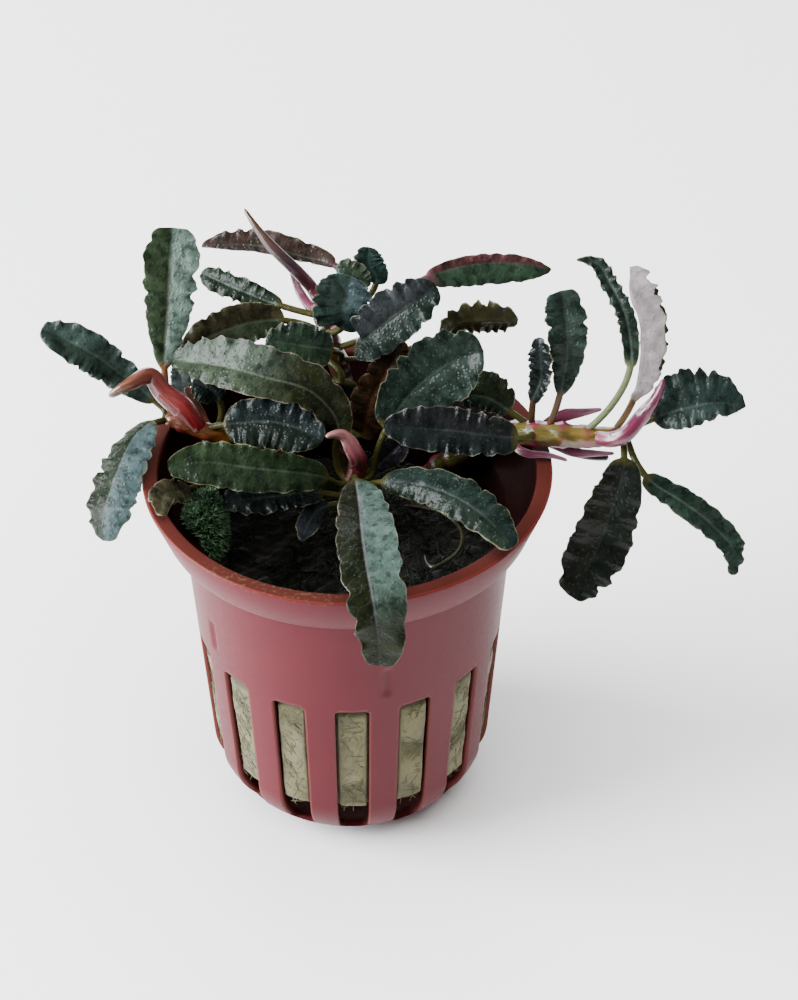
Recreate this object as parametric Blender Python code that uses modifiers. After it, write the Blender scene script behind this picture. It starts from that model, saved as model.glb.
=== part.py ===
"""Potted Bucephalandra: an aquarium plant in a slotted net pot filled with rock wool.

Millimetre values are multiplied by MM, so the model is in metres. The origin is the middle
of the pot's base, +Z is up and the plant's front is towards -Y.
"""
from math import cos, radians, sin
from typing import NamedTuple

import bmesh
import bpy
import numpy as np

MM = 0.001
GAP = 0.3

# Net pot: outer sizes, wall and rim
POT_HEIGHT = 50.0
RIM_RADIUS = 25.0
RIM_INNER_RADIUS = 23.1
RIM_EDGE = 0.3
COLLAR_HEIGHT = 5.7
COLLAR_FOOT_RADIUS = 23.0
COLLAR_INNER_STEP = 1.4
COLLAR_FLARE = 1.2
COLLAR_CHAMFER = 0.4
COLLAR_NECK_OUT = 0.3
COLLAR_NECK_DROP = 0.7
BODY_RADIUS = 17.4
BODY_TAPER = 0.07
WALL = 1.0
BASE_FILLET = 9.4
FILLET_STEPS = 4
POT_STEPS = 45

# Slots around the lower wall and small marks above them
SLOT_COUNT = 15
SLOT_ANGLE = 12.8
SLOT_TURN = 1.8
SLOT_BOTTOM = 3.1
SLOT_TOP = 27.0
SLOT_CORNER = 0.6
SLOT_INNER_REACH = 9.0
MARK_COUNT = 5
MARK_TURN = 14.5
MARK_SIZE = (0.9, 0.8, 4.5)
MARK_MIDDLE = 31.8
MARK_DEPTH = 0.35

# Rock wool plug
WOOL_BOTTOM = 6.6
WOOL_TOP = 36.0
WOOL_EDGE = 1.6
WOOL_GAP = 0.55

# Moss clump by the left inner wall
MOSS_CENTRE = (-17.4, -4.0, 43.6)
MOSS_RADII = (2.6, 3.8, 5.6)
MOSS_LUMP = 0.12
MOSS_ROOM_INSET = 1.5

# Leaves: stalk radius, thickness at the midrib and beside it, stations along a leaf
STALK_RADIUS = 0.42
MIDRIB_THICKNESS = 0.62
BLADE_THICKNESS = 0.36
TIP_WIDTH = 0.18
STALK_STATIONS = 2
BLADE_STATIONS = 7
BLADE_SPACING = 0.9
BLADE_FLATTENING = 6.0

# Points that a smooth line is read at
CURVE_SAMPLES = 400
LEAF_SAMPLES = 300
RHIZOME_SAMPLES = 60

# Surface roughness of each kind of piece
PLASTIC_ROUGHNESS = 0.35
WOOL_ROUGHNESS = 0.95
MOSS_ROUGHNESS = 0.9
STEM_ROUGHNESS = 0.35
LEAF_ROUGHNESS = 0.25

TOWARDS_VIEWER = (0.0, -0.77, 0.64)
UPWARDS = (0.0, -0.5, 0.86)

LEAF_GREEN = (0.035, 0.06, 0.035, 1.0)
LEAF_DARK = (0.025, 0.035, 0.035, 1.0)
LEAF_BRIGHT = (0.07, 0.13, 0.05, 1.0)
LEAF_BROWN = (0.11, 0.06, 0.03, 1.0)
LEAF_SILVER = (0.35, 0.29, 0.29, 1.0)
STEM_OLIVE = (0.24, 0.16, 0.05, 1.0)
STEM_RED = (0.33, 0.05, 0.05, 1.0)
STEM_PINK = (0.45, 0.13, 0.2, 1.0)
POT_RED = (0.42, 0.2, 0.19, 1.0)
WOOL_TAN = (0.3, 0.27, 0.16, 1.0)
MOSS_GREEN = (0.04, 0.16, 0.03, 1.0)


class Leaf(NamedTuple):
    """One leaf: its line from stem to tip in mm and how the blade lies on it."""

    name: str
    line: tuple
    halves: tuple
    stalk: float
    face: tuple = TOWARDS_VIEWER
    colour: tuple = LEAF_GREEN
    fold: float = 12.0
    base_taper: float = 0.5
    tip_taper: float = 0.35
    tip_face: tuple = None


class Stem(NamedTuple):
    """A stem, rolled new leaf, bract or root: its line and its radii in mm."""

    name: str
    line: tuple
    radii: tuple
    colour: tuple = STEM_OLIVE
    stations: int = 10


STEMS = (
    Stem("left_rhizome", ((-5, 11.5, 37.2), (-12.5, 6.5, 48.3), (-17.5, 5.5, 51), (-22.5, 7, 52)),
         (1.5, 1.4, 1.3, 1.0)),
    Stem("centre_rhizome", ((0, 4, 37), (0.3, 2.5, 42), (0.5, 1, 46.5)), (1.6, 1.5, 1.3), stations=6),
    Stem("right_rhizome", ((9, 12, 37.2), (14, 9.5, 44.5), (18.5, 6, 50), (24, 3, 52.6), (29.5, 2, 53),
                           (33.5, 1.5, 53.5)), (1.5, 1.5, 1.6, 1.7, 1.6, 1.1), stations=12),
    Stem("back_rhizome", ((0, 13, 37), (-0.5, 15, 46), (-1, 16, 52), (-2.5, 17, 57), (-4, 21, 59.5)),
         (1.5, 1.5, 1.4, 1.3, 1.0)),
    Stem("left_new_leaf", ((-20.2, 6.2, 54.2), (-22.5, 7.2, 55.9), (-24, 8, 57.7), (-26.5, 6, 58),
                           (-29, 5.5, 56.5)), (1.0, 1.5, 1.2, 0.9, 0.4), STEM_RED),
    Stem("centre_new_leaf", ((1.3, 1.8, 48.5), (1.0, 0.2, 52), (-0.5, 0.5, 54.5), (-2.5, -0.5, 55)),
         (1.1, 1.2, 1.0, 0.3), STEM_RED),
    Stem("right_new_leaf", ((33.5, -0.5, 55.2), (35.5, 1, 56.8), (37, 1.5, 59), (38, 2.5, 61.5)),
         (0.9, 1.0, 0.9, 0.25), STEM_PINK),
    Stem("back_new_leaf", ((-4.6, 22.5, 60.5), (-6, 22.5, 62.5), (-10, 24.5, 66), (-13, 27.5, 69)),
         (0.8, 0.8, 0.7, 0.2), STEM_RED),
    Stem("back_bract", ((-5.8, 21.5, 59.8), (-6.6, 23.2, 60.5), (-7.5, 25, 62.5)), (0.6, 0.6, 0.2),
         STEM_PINK, 6),
    Stem("right_upper_bract", ((26.5, 4.9, 54), (28.5, 4.8, 54.5), (31, 4.6, 55.2)), (0.5, 0.8, 0.2),
         STEM_PINK, 6),
    Stem("right_lower_bract", ((22, 1.2, 51), (24.5, 1, 50.9), (26.8, 0.6, 50.4)), (0.5, 0.5, 0.2),
         STEM_PINK, 6),
    Stem("right_under_bract", ((27.5, 2, 50.6), (30, 1.5, 50.8), (32.5, 1, 51.2)), (0.5, 0.6, 0.2),
         STEM_PINK, 6),
    Stem("right_old_stalk", ((26, 3, 50.3), (28.5, 2.5, 49.7), (32, 2.5, 49.4)), (0.35, 0.4, 0.45),
         STEM_OLIVE, 6),
    Stem("left_bract", ((-18.6, 7.4, 53), (-19.3, 8.2, 54.2), (-19.8, 8.8, 55.4)), (0.5, 0.8, 0.4),
         STEM_RED, 6),
    Stem("curly_root", ((6.5, 8, 36.9), (11.5, 6, 37.5), (14, 2, 38), (13, -3.5, 38.5), (10.5, -5, 38),
                        (9.5, -2, 37.5)), (0.25, 0.25), STEM_OLIVE, 16),
)

LEAVES = (
    Leaf("left_upright_leaf", ((-22, 8, 52.5), (-22.5, 10, 56), (-22, 15, 64), (-21.5, 20.5, 71)),
         (3.5, 4.0), 0.2, fold=15, base_taper=0.75, tip_taper=0.25),
    Leaf("left_far_leaf", ((-23, 8.5, 52.5), (-27.5, 10.5, 55.5), (-32, 11, 59.3), (-37.5, 12.5, 61.5)),
         (2.7, 2.6), 0.06, (-0.1, -0.6, 0.8), base_taper=0.6),
    Leaf("left_drooping_leaf", ((-22.5, 6.4, 52), (-24.2, 4.5, 52.8), (-27.6, -1.6, 51), (-29.2, -6, 47.5),
                                (-29.5, -7.5, 44.5)),
         (3.8, 3.8), 0.04, (-0.45, -0.35, 0.82), fold=-12, base_taper=0.55),
    Leaf("left_speckled_leaf", ((-17.5, 5.5, 51.5), (-14, 4.5, 53), (-9, 3.6, 54), (-3, 0.8, 53.2)),
         (3.4, 3.7), 0.06, (0, -0.7, 0.7), LEAF_DARK, base_taper=0.45, tip_taper=0.4),
    Leaf("left_small_leaf", ((-16, 6, 51.5), (-15.5, 6.5, 54), (-16.5, 7, 56), (-19, 8, 56.5)),
         (2.2, 1.9), 0.4, (0, -0.6, 0.8), LEAF_DARK),
    Leaf("left_pale_leaf", ((-20.3, 8, 52.3), (-20.6, 9.6, 53.6), (-20.7, 11, 54.8), (-21.2, 12.7, 56.2)),
         (1.4, 1.4), 0.2, (0.2, -0.7, 0.6), LEAF_SILVER, tip_taper=0.5),
    Leaf("centre_arching_leaf", ((-1.2, 2.6, 47.6), (-1.5, 3, 50.5), (-1, 3, 53.4), (-4, 3.2, 58.7),
                                 (-10, 3.5, 61), (-16, 6.5, 60.5), (-21.5, 10.5, 58)),
         (2.9, 3.9), 0.15, (-0.2, -0.6, 0.8), LEAF_BRIGHT, base_taper=0.55, tip_taper=0.42),
    Leaf("centre_left_leaf", ((-1.5, 0, 47.3), (-3, -1.5, 49.5), (-11, -3.5, 52.5), (-17.5, -3, 53),
                              (-21.5, -3.5, 52.5)),
         (3.2, 2.8), 0.1, (0, -0.7, 0.7), LEAF_BRIGHT),
    Leaf("centre_under_leaf", ((-1.2, -0.6, 45.8), (-3, -1, 46.5), (-10, -3, 47.5), (-15, -4, 47.5)),
         (2.4, 2.8), 0.14, UPWARDS, LEAF_DARK),
    Leaf("old_curled_leaf", ((-19, -2.5, 48.5), (-20.5, -5, 50), (-22, -8, 51.5), (-21.5, -10.5, 51)),
         (1.7, 1.9), 0.06, (0.2, -0.5, 0.8), LEAF_BROWN, base_taper=0.4, tip_taper=0.4),
    Leaf("centre_front_leaf", ((1, -0.6, 48.6), (1.5, -7.5, 51), (2.5, -22, 54), (3.5, -28, 52),
                               (4, -29, 48), (4, -29.5, 44.5)),
         (4.2, 3.3), 0.03, (0, -0.6, 0.8), fold=10, tip_taper=0.3),
    Leaf("centre_right_front_leaf", ((2.6, -0.6, 47.6), (4.5, -2.5, 49.5), (10, -7, 52.5),
                                     (15.5, -12.5, 53.5), (19.5, -17.5, 52)),
         (3.1, 2.5), 0.12, (0.1, -0.6, 0.8), fold=-10),
    Leaf("centre_broad_leaf", ((3.2, 1.2, 48.3), (4.2, 1.5, 53), (7.5, 5, 57), (12, 6.5, 60.5),
                               (16.5, 6, 63)),
         (4.6, 4.9), 0.28, (0.1, -0.8, 0.6)),
    Leaf("centre_purple_leaf", ((2.6, 2.6, 46.8), (3.8, 2.8, 48), (5.5, 2.8, 50), (7, 3.2, 51.8)),
         (1.8, 1.8), 0.15, colour=LEAF_DARK),
    Leaf("centre_inner_leaf", ((-0.6, -0.8, 44.6), (-3, -1, 44.3), (-5, -4.5, 44), (-5.5, -6.5, 43.5)),
         (1.5, 1.5), 0.2, colour=LEAF_DARK, tip_taper=0.5),
    Leaf("right_inward_leaf", ((22.5, 2.2, 53.2), (21.5, 0.5, 54), (19, 0, 54.5), (12.5, 0, 55.5),
                               (4.5, -0.5, 56.5)),
         (3.1, 3.0), 0.12, (0, -0.65, 0.75), LEAF_DARK, base_taper=0.35),
    Leaf("right_back_leaf", ((22, 4.5, 53), (20, 5.5, 54), (17, 6.5, 55.5), (13, 7, 55)),
         (1.8, 3.4), 0.1, tip_taper=0.5),
    Leaf("right_small_leaf", ((22.5, 4, 53.5), (22.5, 4, 56), (23.4, 3.7, 61.7), (23, 5, 65.8)),
         (1.6, 1.6), 0.2, (-0.4, -0.7, 0.5), LEAF_DARK, base_taper=0.6, tip_taper=0.3),
    Leaf("right_upright_leaf", ((24.5, 3, 53.5), (25.5, 3.5, 57), (26.5, 5, 64), (25.5, 8, 70.5)),
         (2.7, 2.7), 0.2, base_taper=0.7, tip_taper=0.2),
    Leaf("right_curved_leaf", ((28.5, 2, 53.5), (32, 2.5, 57.5), (34, 3, 63.5), (33.5, 6, 67.5),
                               (31.5, 9.5, 70.5), (30, 11.5, 72), (27.5, 11.5, 72.5)),
         (1.3, 1.2), 0.36, (0.1, -0.75, 0.6), base_taper=0.4, tip_taper=0.5),
    Leaf("right_silver_leaf", ((33, 3, 54), (34.5, 3.5, 57), (35.5, 5, 61), (35.5, 8, 65.5),
                               (34.5, 11, 68.5), (34, 13.5, 70)),
         (3.1, 3.9), 0.16, (1, 0.1, 0), LEAF_SILVER, fold=62, tip_taper=0.3),
    Leaf("right_far_leaf", ((33, 2, 53.5), (35.5, 2.5, 54.5), (40, 1.5, 57.5), (44, 1, 59),
                            (48, 1.5, 58)),
         (4.8, 2.7), 0.18, (0.1, -0.6, 0.75), base_taper=0.6, tip_taper=0.85),
    Leaf("right_lower_leaf", ((33.5, 1.5, 53), (33.5, -1.5, 51.5), (32.1, -4, 46.5), (30.5, -6, 42),
                              (26.9, -9.5, 37.5)),
         (3.9, 3.9), 0.05, (0.1, -0.75, 0.65), base_taper=0.45, tip_taper=0.28),
    Leaf("right_lower_narrow_leaf", ((34.5, 2.5, 51), (36.5, -1, 49), (40.5, -3, 47), (44.5, -4, 44),
                                     (47, -5.5, 41.5), (47, -7, 38.5)),
         (1.9, 1.8), 0.2, (0.1, -0.75, 0.65), base_taper=0.35),
    Leaf("back_brown_leaf", ((-3.5, 20, 58.5), (-2, 22.5, 60), (-1.5, 27.5, 60), (-6.5, 29.5, 60.5),
                             (-12.5, 31, 61), (-19, 32, 60)),
         (0.9, 2.3), 0.28, colour=LEAF_BROWN, tip_taper=0.5),
    Leaf("back_left_leaf", ((-3.5, 18.5, 59), (-6, 19.5, 59), (-10, 21.5, 59), (-14.5, 24.5, 59),
                            (-19, 29, 58)),
         (1.8, 1.9), 0.2, tip_taper=0.4),
    Leaf("back_olive_leaf", ((-3, 17.5, 57), (-6, 19, 57.5), (-10, 19, 58), (-15.5, 17.5, 57.5),
                             (-21, 15, 55.5)),
         (2.8, 2.8), 0.2, colour=LEAF_BROWN, base_taper=0.45, tip_taper=0.5),
    Leaf("back_tall_leaf", ((-2, 18, 58.5), (1, 19.5, 60), (3, 21, 61), (3.5, 21.5, 62.5),
                            (2.5, 22.5, 64.5), (2.5, 23.5, 66)),
         (2.0, 2.0), 0.58, base_taper=0.4, tip_taper=0.3),
    Leaf("back_curled_leaf", ((-2.5, 18.5, 59), (0.5, 19.5, 61), (2, 19.5, 62.5), (1.5, 20, 63.5),
                              (0, 20.5, 64.5), (-1.5, 21, 64.5)),
         (1.7, 1.7), 0.52, tip_taper=0.5),
    Leaf("back_facing_leaf", ((-2.6, 17.3, 57.6), (-2, 15.6, 58.6), (-0.8, 14.6, 60), (-0.5, 14, 64),
                              (0.5, 15.5, 67.2)),
         (4.0, 3.6), 0.26, base_taper=0.4, tip_taper=0.3),
    Leaf("back_broad_leaf", ((-1.8, 16.5, 55.3), (1.2, 14, 58.5), (2, 11.5, 60.5), (6, 11.2, 64.7),
                             (11, 12, 68)),
         (3.6, 3.5), 0.24, colour=LEAF_DARK, base_taper=0.35),
    Leaf("back_dotted_leaf", ((-1.3, 16.2, 53.5), (-1, 13.5, 57), (-2, 11.5, 59), (-6, 10.5, 60.5),
                              (-10, 11, 61)),
         (2.9, 2.9), 0.36, base_taper=0.35),
    Leaf("back_hanging_leaf", ((-1.2, 16, 52), (-2.2, 14.2, 55), (-1.2, 13, 54.8), (-1, 12.9, 49.8),
                               (-0.5, 12, 45.7)),
         (2.6, 2.6), 0.3, colour=LEAF_DARK, base_taper=0.3, tip_taper=0.6),
    Leaf("old_brown_leaf", ((-0.3, 14.5, 44.5), (1.8, 10.5, 46.8), (2.3, 10.3, 50.5), (4.6, 10.7, 55.8),
                            (7, 12, 60)),
         (2.6, 2.6), 0.16, colour=LEAF_BROWN, base_taper=0.3, tip_taper=0.4),
    Leaf("back_pink_leaf", ((-2, 17, 58), (3.5, 18, 61), (7, 20, 62), (11.5, 23, 62.5), (19, 25, 62.5),
                            (25.5, 25, 61.5)),
         (1.3, 2.9), 0.45, colour=LEAF_BRIGHT, base_taper=0.4, tip_taper=0.5),
    Leaf("back_folded_leaf", ((-0.5, 16, 54), (6.5, 14.5, 56.5), (11, 14.5, 58.5), (13, 15.5, 59.7),
                              (17, 16, 60.4), (21, 16.5, 59.2)),
         (2.4, 2.4), 0.54, (0, -0.8, 0.6), LEAF_DARK, base_taper=0.35, tip_taper=0.4,
         tip_face=(0, 1, -0.2)),
)


def clear_scene():
    """Remove every object of the open file."""
    for obj in list(bpy.data.objects):
        bpy.data.objects.remove(obj, do_unlink=True)


def new_collection(name):
    collection = bpy.data.collections.new(name)
    bpy.context.scene.collection.children.link(collection)
    return collection


def material(name, colour, roughness):
    """A Principled material, made once for each name."""
    found = bpy.data.materials.get(name)
    if found:
        return found
    made = bpy.data.materials.new(name)
    made.use_nodes = True
    shader = made.node_tree.nodes["Principled BSDF"]
    shader.inputs["Base Color"].default_value = colour
    shader.inputs["Roughness"].default_value = roughness
    shader.inputs["Metallic"].default_value = 0.0
    made.diffuse_color = colour
    return made


def add_object(name, data, collection, surface=None):
    """Link a new object for the data and give it its material."""
    obj = bpy.data.objects.new(name, data)
    collection.objects.link(obj)
    if surface:
        data.materials.append(surface)
    return obj


def mark_cutter(obj):
    obj.hide_render = True
    obj.display_type = "WIRE"


def turned(name, profile, collection, surface=None):
    """Revolve a profile of (radius, height) points in mm about Z; its outer side runs down."""
    mesh = bpy.data.meshes.new(name)
    points = [(radius * MM, 0.0, height * MM) for radius, height in profile]
    edges = [(i, i + 1) for i in range(len(points) - 1)]
    mesh.from_pydata(points, edges, [])
    obj = add_object(name, mesh, collection, surface)
    screw = obj.modifiers.new("Turn", "SCREW")
    screw.steps = POT_STEPS
    screw.render_steps = POT_STEPS
    screw.use_merge_vertices = True
    screw.merge_threshold = 0.00001
    return obj


def body_radius(height):
    """Outer radius of the pot's wall, in mm."""
    return BODY_RADIUS + BODY_TAPER * height


def fillet(centre_radius, centre_height, size, start, end):
    """Points of a quarter round in the profile plane, from one angle to another in degrees."""
    angles = np.radians(np.linspace(start, end, FILLET_STEPS + 1))
    return [(centre_radius + size * cos(a), centre_height + size * sin(a)) for a in angles]


def pot_profile():
    """Inner surface up, over the rim and collar, then the outer surface down to the base."""
    round_radius = body_radius(BASE_FILLET) - BASE_FILLET
    collar_foot = POT_HEIGHT - COLLAR_HEIGHT
    inner = [(0.0, WALL)]
    inner += fillet(round_radius, BASE_FILLET, BASE_FILLET - WALL, -90, 0)
    neck = body_radius(collar_foot)
    inner += [(neck - WALL, collar_foot),
              (RIM_INNER_RADIUS - COLLAR_INNER_STEP, collar_foot + COLLAR_FLARE),
              (RIM_INNER_RADIUS, POT_HEIGHT)]
    outer = [(RIM_RADIUS - RIM_EDGE, POT_HEIGHT), (RIM_RADIUS, POT_HEIGHT - RIM_EDGE),
             (COLLAR_FOOT_RADIUS, collar_foot),
             (COLLAR_FOOT_RADIUS - COLLAR_CHAMFER, collar_foot - COLLAR_CHAMFER),
             (neck + COLLAR_NECK_OUT, collar_foot - COLLAR_NECK_DROP),
             (neck, collar_foot - COLLAR_FLARE)]
    outer += fillet(round_radius, BASE_FILLET, BASE_FILLET, 0, -90)
    outer += [(0.0, 0.0)]
    return inner + outer


def slot_cutter(collection):
    """Wedges with radial sides for the slots, and small blocks for the marks, as one mesh."""
    bm = bmesh.new()
    half = radians(SLOT_ANGLE / 2)
    for index in range(SLOT_COUNT):
        cube = bmesh.ops.create_cube(bm, size=1.0)["verts"]
        for vert in cube:
            reach = RIM_RADIUS if vert.co.y < 0 else SLOT_INNER_REACH
            side = 1 if vert.co.x > 0 else -1
            height = SLOT_TOP if vert.co.z > 0 else SLOT_BOTTOM
            vert.co = (side * reach * sin(half) * MM, -reach * cos(half) * MM, height * MM)
        edges = {e for v in cube for e in v.link_edges}
        radial = [e for e in edges if e.verts[0].co.z == e.verts[1].co.z
                  and e.verts[0].co.x * e.verts[1].co.x > 0]
        rounded = bmesh.ops.bevel(bm, geom=radial, offset=SLOT_CORNER * MM, segments=2, profile=0.5,
                                  affect="EDGES")["verts"]
        turn_about_pot(bm, set(v for v in cube if v.is_valid) | set(rounded),
                       SLOT_TURN + index * 360.0 / SLOT_COUNT)
    for index in range(MARK_COUNT):
        cube = bmesh.ops.create_cube(bm, size=1.0)["verts"]
        reach = body_radius(MARK_MIDDLE) + MARK_SIZE[1] / 2 - MARK_DEPTH
        for vert in cube:
            x, y, z = (c * s for c, s in zip(vert.co, MARK_SIZE))
            vert.co = (x * MM, (y - reach) * MM, (z + MARK_MIDDLE) * MM)
        turn_about_pot(bm, cube, MARK_TURN + index * 360.0 / MARK_COUNT)
    mesh = bpy.data.meshes.new("slot_cutter")
    bm.to_mesh(mesh)
    bm.free()
    obj = add_object("slot_cutter", mesh, collection)
    mark_cutter(obj)
    return obj


def turn_about_pot(bm, verts, degrees):
    """Turn points about the pot's axis, anticlockwise seen from above."""
    angle = radians(degrees)
    for vert in verts:
        x, y, z = vert.co
        vert.co = (x * cos(angle) - y * sin(angle), x * sin(angle) + y * cos(angle), z)


def boolean(obj, other, operation):
    modifier = obj.modifiers.new(operation.title(), "BOOLEAN")
    modifier.operation = operation
    modifier.solver = "EXACT"
    modifier.object = other


def make_pot(parts, cutters):
    """The pot turned from its profile, with slots and shallow marks cut into its wall."""
    pot = turned("net_pot", pot_profile(), parts, material("pot plastic", POT_RED, PLASTIC_ROUGHNESS))
    boolean(pot, slot_cutter(cutters), "DIFFERENCE")
    return pot


def room_profile(bottom, top, gap):
    """The free room inside the pot between two heights, a gap away from its walls."""
    points = [(0.0, top)]
    collar_foot = POT_HEIGHT - COLLAR_HEIGHT
    if top > collar_foot:
        collar_room = RIM_INNER_RADIUS - MOSS_ROOM_INSET - gap
        points += [(collar_room, top), (collar_room, collar_foot + COLLAR_FLARE),
                   (body_radius(collar_foot) - WALL - gap, collar_foot)]
    else:
        points += [(body_radius(top) - WALL - gap, top)]
    low = body_radius(bottom + WOOL_EDGE) - WALL - gap
    points += fillet(low - 2 * WOOL_EDGE, bottom + WOOL_EDGE, 2 * WOOL_EDGE, 0, -30)
    points += [(low - 3 * WOOL_EDGE, bottom), (0.0, bottom)]
    return points


def make_wool(parts):
    """The plug of rock wool that fills the pot below its collar."""
    return turned("rock_wool", room_profile(WOOL_BOTTOM, WOOL_TOP, WOOL_GAP), parts,
                  material("rock wool", WOOL_TAN, WOOL_ROUGHNESS))


def make_moss(parts, cutters):
    """A lumpy ellipsoid kept inside the room above the wool."""
    bm = bmesh.new()
    bmesh.ops.create_icosphere(bm, subdivisions=2, radius=1.0)
    for vert in bm.verts:
        x, y, z = vert.co
        lump = 1.0 + MOSS_LUMP * sin(5.1 * x + 2.0 * z) * sin(4.3 * y - 1.7 * z + 0.6)
        vert.co = [(centre + radius * lump * c) * MM
                   for centre, radius, c in zip(MOSS_CENTRE, MOSS_RADII, (x, y, z))]
    mesh = bpy.data.meshes.new("moss_clump")
    bm.to_mesh(mesh)
    bm.free()
    moss = add_object("moss_clump", mesh, parts, material("moss", MOSS_GREEN, MOSS_ROUGHNESS))
    room = turned("moss_room", room_profile(WOOL_TOP + GAP, POT_HEIGHT + 1, GAP), cutters)
    mark_cutter(room)
    boolean(moss, room, "INTERSECT")
    return moss


def smooth_line(points, count):
    """Points evenly spaced along a smooth curve through the given ones (cubic Hermite)."""
    points = np.asarray(points, float)
    knots = np.r_[0, np.cumsum(np.linalg.norm(np.diff(points, axis=0), axis=1))]
    slopes = np.gradient(points, knots, axis=0, edge_order=2)
    at = np.linspace(0, knots[-1], CURVE_SAMPLES)
    i = np.clip(np.searchsorted(knots, at, side="right") - 1, 0, len(knots) - 2)
    span = (knots[i + 1] - knots[i])[:, None]
    q = ((at - knots[i])[:, None]) / span
    curve = ((2 * q**3 - 3 * q**2 + 1) * points[i] + (q**3 - 2 * q**2 + q) * span * slopes[i]
             + (3 * q**2 - 2 * q**3) * points[i + 1] + (q**3 - q**2) * span * slopes[i + 1])
    along = np.r_[0, np.cumsum(np.linalg.norm(np.diff(curve, axis=0), axis=1))]
    wanted = np.linspace(0, along[-1], count)
    return np.stack([np.interp(wanted, along, curve[:, k]) for k in range(3)], -1)


def make_stem(stem, parts):
    """A tube of changing radius with filled caps."""
    line = smooth_line(stem.line, stem.stations)
    places = np.linspace(0, 1, stem.stations)
    radii = np.interp(places, np.linspace(0, 1, len(stem.radii)), stem.radii)
    curve = bpy.data.curves.new(stem.name, "CURVE")
    curve.dimensions = "3D"
    curve.bevel_depth = MM
    curve.bevel_resolution = 2
    curve.use_fill_caps = True
    spline = curve.splines.new("POLY")
    spline.points.add(stem.stations - 1)
    for point, place, radius in zip(spline.points, line, radii):
        point.co = (*(place * MM), 1.0)
        point.radius = radius
    spline.use_smooth = True
    add_object(stem.name, curve, parts, material(f"{stem.name} skin", stem.colour, STEM_ROUGHNESS))


def stem_samples():
    """Centre points and radii along every rhizome, which leaf stalks start clear of."""
    places, radii = [], []
    along = np.linspace(0, 1, RHIZOME_SAMPLES)
    for stem in STEMS:
        if stem.name.endswith("rhizome"):
            places.append(smooth_line(stem.line, RHIZOME_SAMPLES))
            radii.append(np.interp(along, np.linspace(0, 1, len(stem.radii)), stem.radii))
    return np.concatenate(places), np.concatenate(radii)


def clear_of_stems(line, rhizomes):
    """The stretch of a leaf's line that starts a gap away from the rhizomes."""
    places, radii = rhizomes
    room = np.linalg.norm(line[:, None] - places[None], axis=2) - radii[None]
    touching = np.nonzero(room.min(axis=1) < STALK_RADIUS + GAP)[0]
    first = touching.max() + 1 if len(touching) else 0
    return line[first:]


def leaf_sections(leaf, rhizomes):
    """Rings of eight points: edge, upper side, other edge, lower side, at each station."""
    fine = clear_of_stems(smooth_line(leaf.line, LEAF_SAMPLES), rhizomes)
    stalk_end = leaf.stalk
    blade_places = np.linspace(0, 1, BLADE_STATIONS) ** BLADE_SPACING
    stations = np.r_[np.linspace(0, stalk_end, STALK_STATIONS, endpoint=False),
                     stalk_end + (1 - stalk_end) * blade_places]
    where = stations * (len(fine) - 1)
    line = np.stack([np.interp(where, np.arange(len(fine)), fine[:, k]) for k in range(3)], -1)
    ahead = np.gradient(line, axis=0)
    ahead /= np.linalg.norm(ahead, axis=1)[:, None]
    tip_face = leaf.tip_face or leaf.face
    face = np.outer(1 - stations, leaf.face) + np.outer(stations, tip_face)
    up = face - (face * ahead).sum(1)[:, None] * ahead
    up /= np.linalg.norm(up, axis=1)[:, None]
    side = np.cross(ahead, up)

    a, b = leaf.base_taper, leaf.tip_taper
    blade = np.clip((stations - stalk_end) / (1 - stalk_end), 0, 1)
    peak = a / (a + b)
    spread = blade**a * (1 - blade) ** b / (peak**a * (1 - peak) ** b)
    bend = radians(leaf.fold)
    rings = []
    for u, sign in ((-1, 0), (-0.5, 1), (0, 1), (0.5, 1), (1, 0), (0.5, -1), (0, -1), (-0.5, -1)):
        half = leaf.halves[0] if u < 0 else leaf.halves[1]
        width = STALK_RADIUS + (half - STALK_RADIUS) * spread
        width[-1] = TIP_WIDTH
        thick = MIDRIB_THICKNESS if u == 0 else BLADE_THICKNESS
        round_half = STALK_RADIUS * (1 - u * u) ** 0.5
        flat = np.clip(blade * BLADE_FLATTENING, 0, 1)
        depth = round_half * (1 - flat) + thick / 2 * flat
        depth[-1] = min(depth[-1], TIP_WIDTH)
        rings.append(line + side * (u * width * cos(bend))[:, None]
                     + up * (abs(u) * width * sin(bend) + sign * depth)[:, None])
    return np.stack(rings, axis=1)


def make_leaf(leaf, parts, rhizomes):
    """Loft the leaf's rings into one closed skin."""
    rings = leaf_sections(leaf, rhizomes)
    bm = bmesh.new()
    verts = [[bm.verts.new(point * MM) for point in ring] for ring in rings]
    count = len(verts[0])
    for here, ahead in zip(verts, verts[1:]):
        for k in range(count):
            n = (k + 1) % count
            bm.faces.new((here[k], here[n], ahead[n], ahead[k]))
    bm.faces.new(verts[0][::-1])
    bm.faces.new(verts[-1])
    bmesh.ops.triangulate(bm, faces=bm.faces)
    bmesh.ops.recalc_face_normals(bm, faces=bm.faces)
    mesh = bpy.data.meshes.new(leaf.name)
    bm.to_mesh(mesh)
    bm.free()
    mesh.shade_smooth()
    add_object(leaf.name, mesh, parts, material(f"{leaf.name} skin", leaf.colour, LEAF_ROUGHNESS))


def main():
    clear_scene()
    parts = new_collection("potted_bucephalandra")
    cutters = new_collection("cutters")
    make_pot(parts, cutters)
    make_wool(parts)
    make_moss(parts, cutters)
    for stem in STEMS:
        make_stem(stem, parts)
    rhizomes = stem_samples()
    for leaf in LEAVES:
        make_leaf(leaf, parts, rhizomes)


main()
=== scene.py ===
"""Looks of a potted Bucephalandra: wet wavy leaves on creeping stems, in a slotted net pot.

Sizes are in millimetres unless a name says otherwise, and MM turns them into metres.
"""

from math import cos, pi, radians, sin
from typing import NamedTuple

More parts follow.
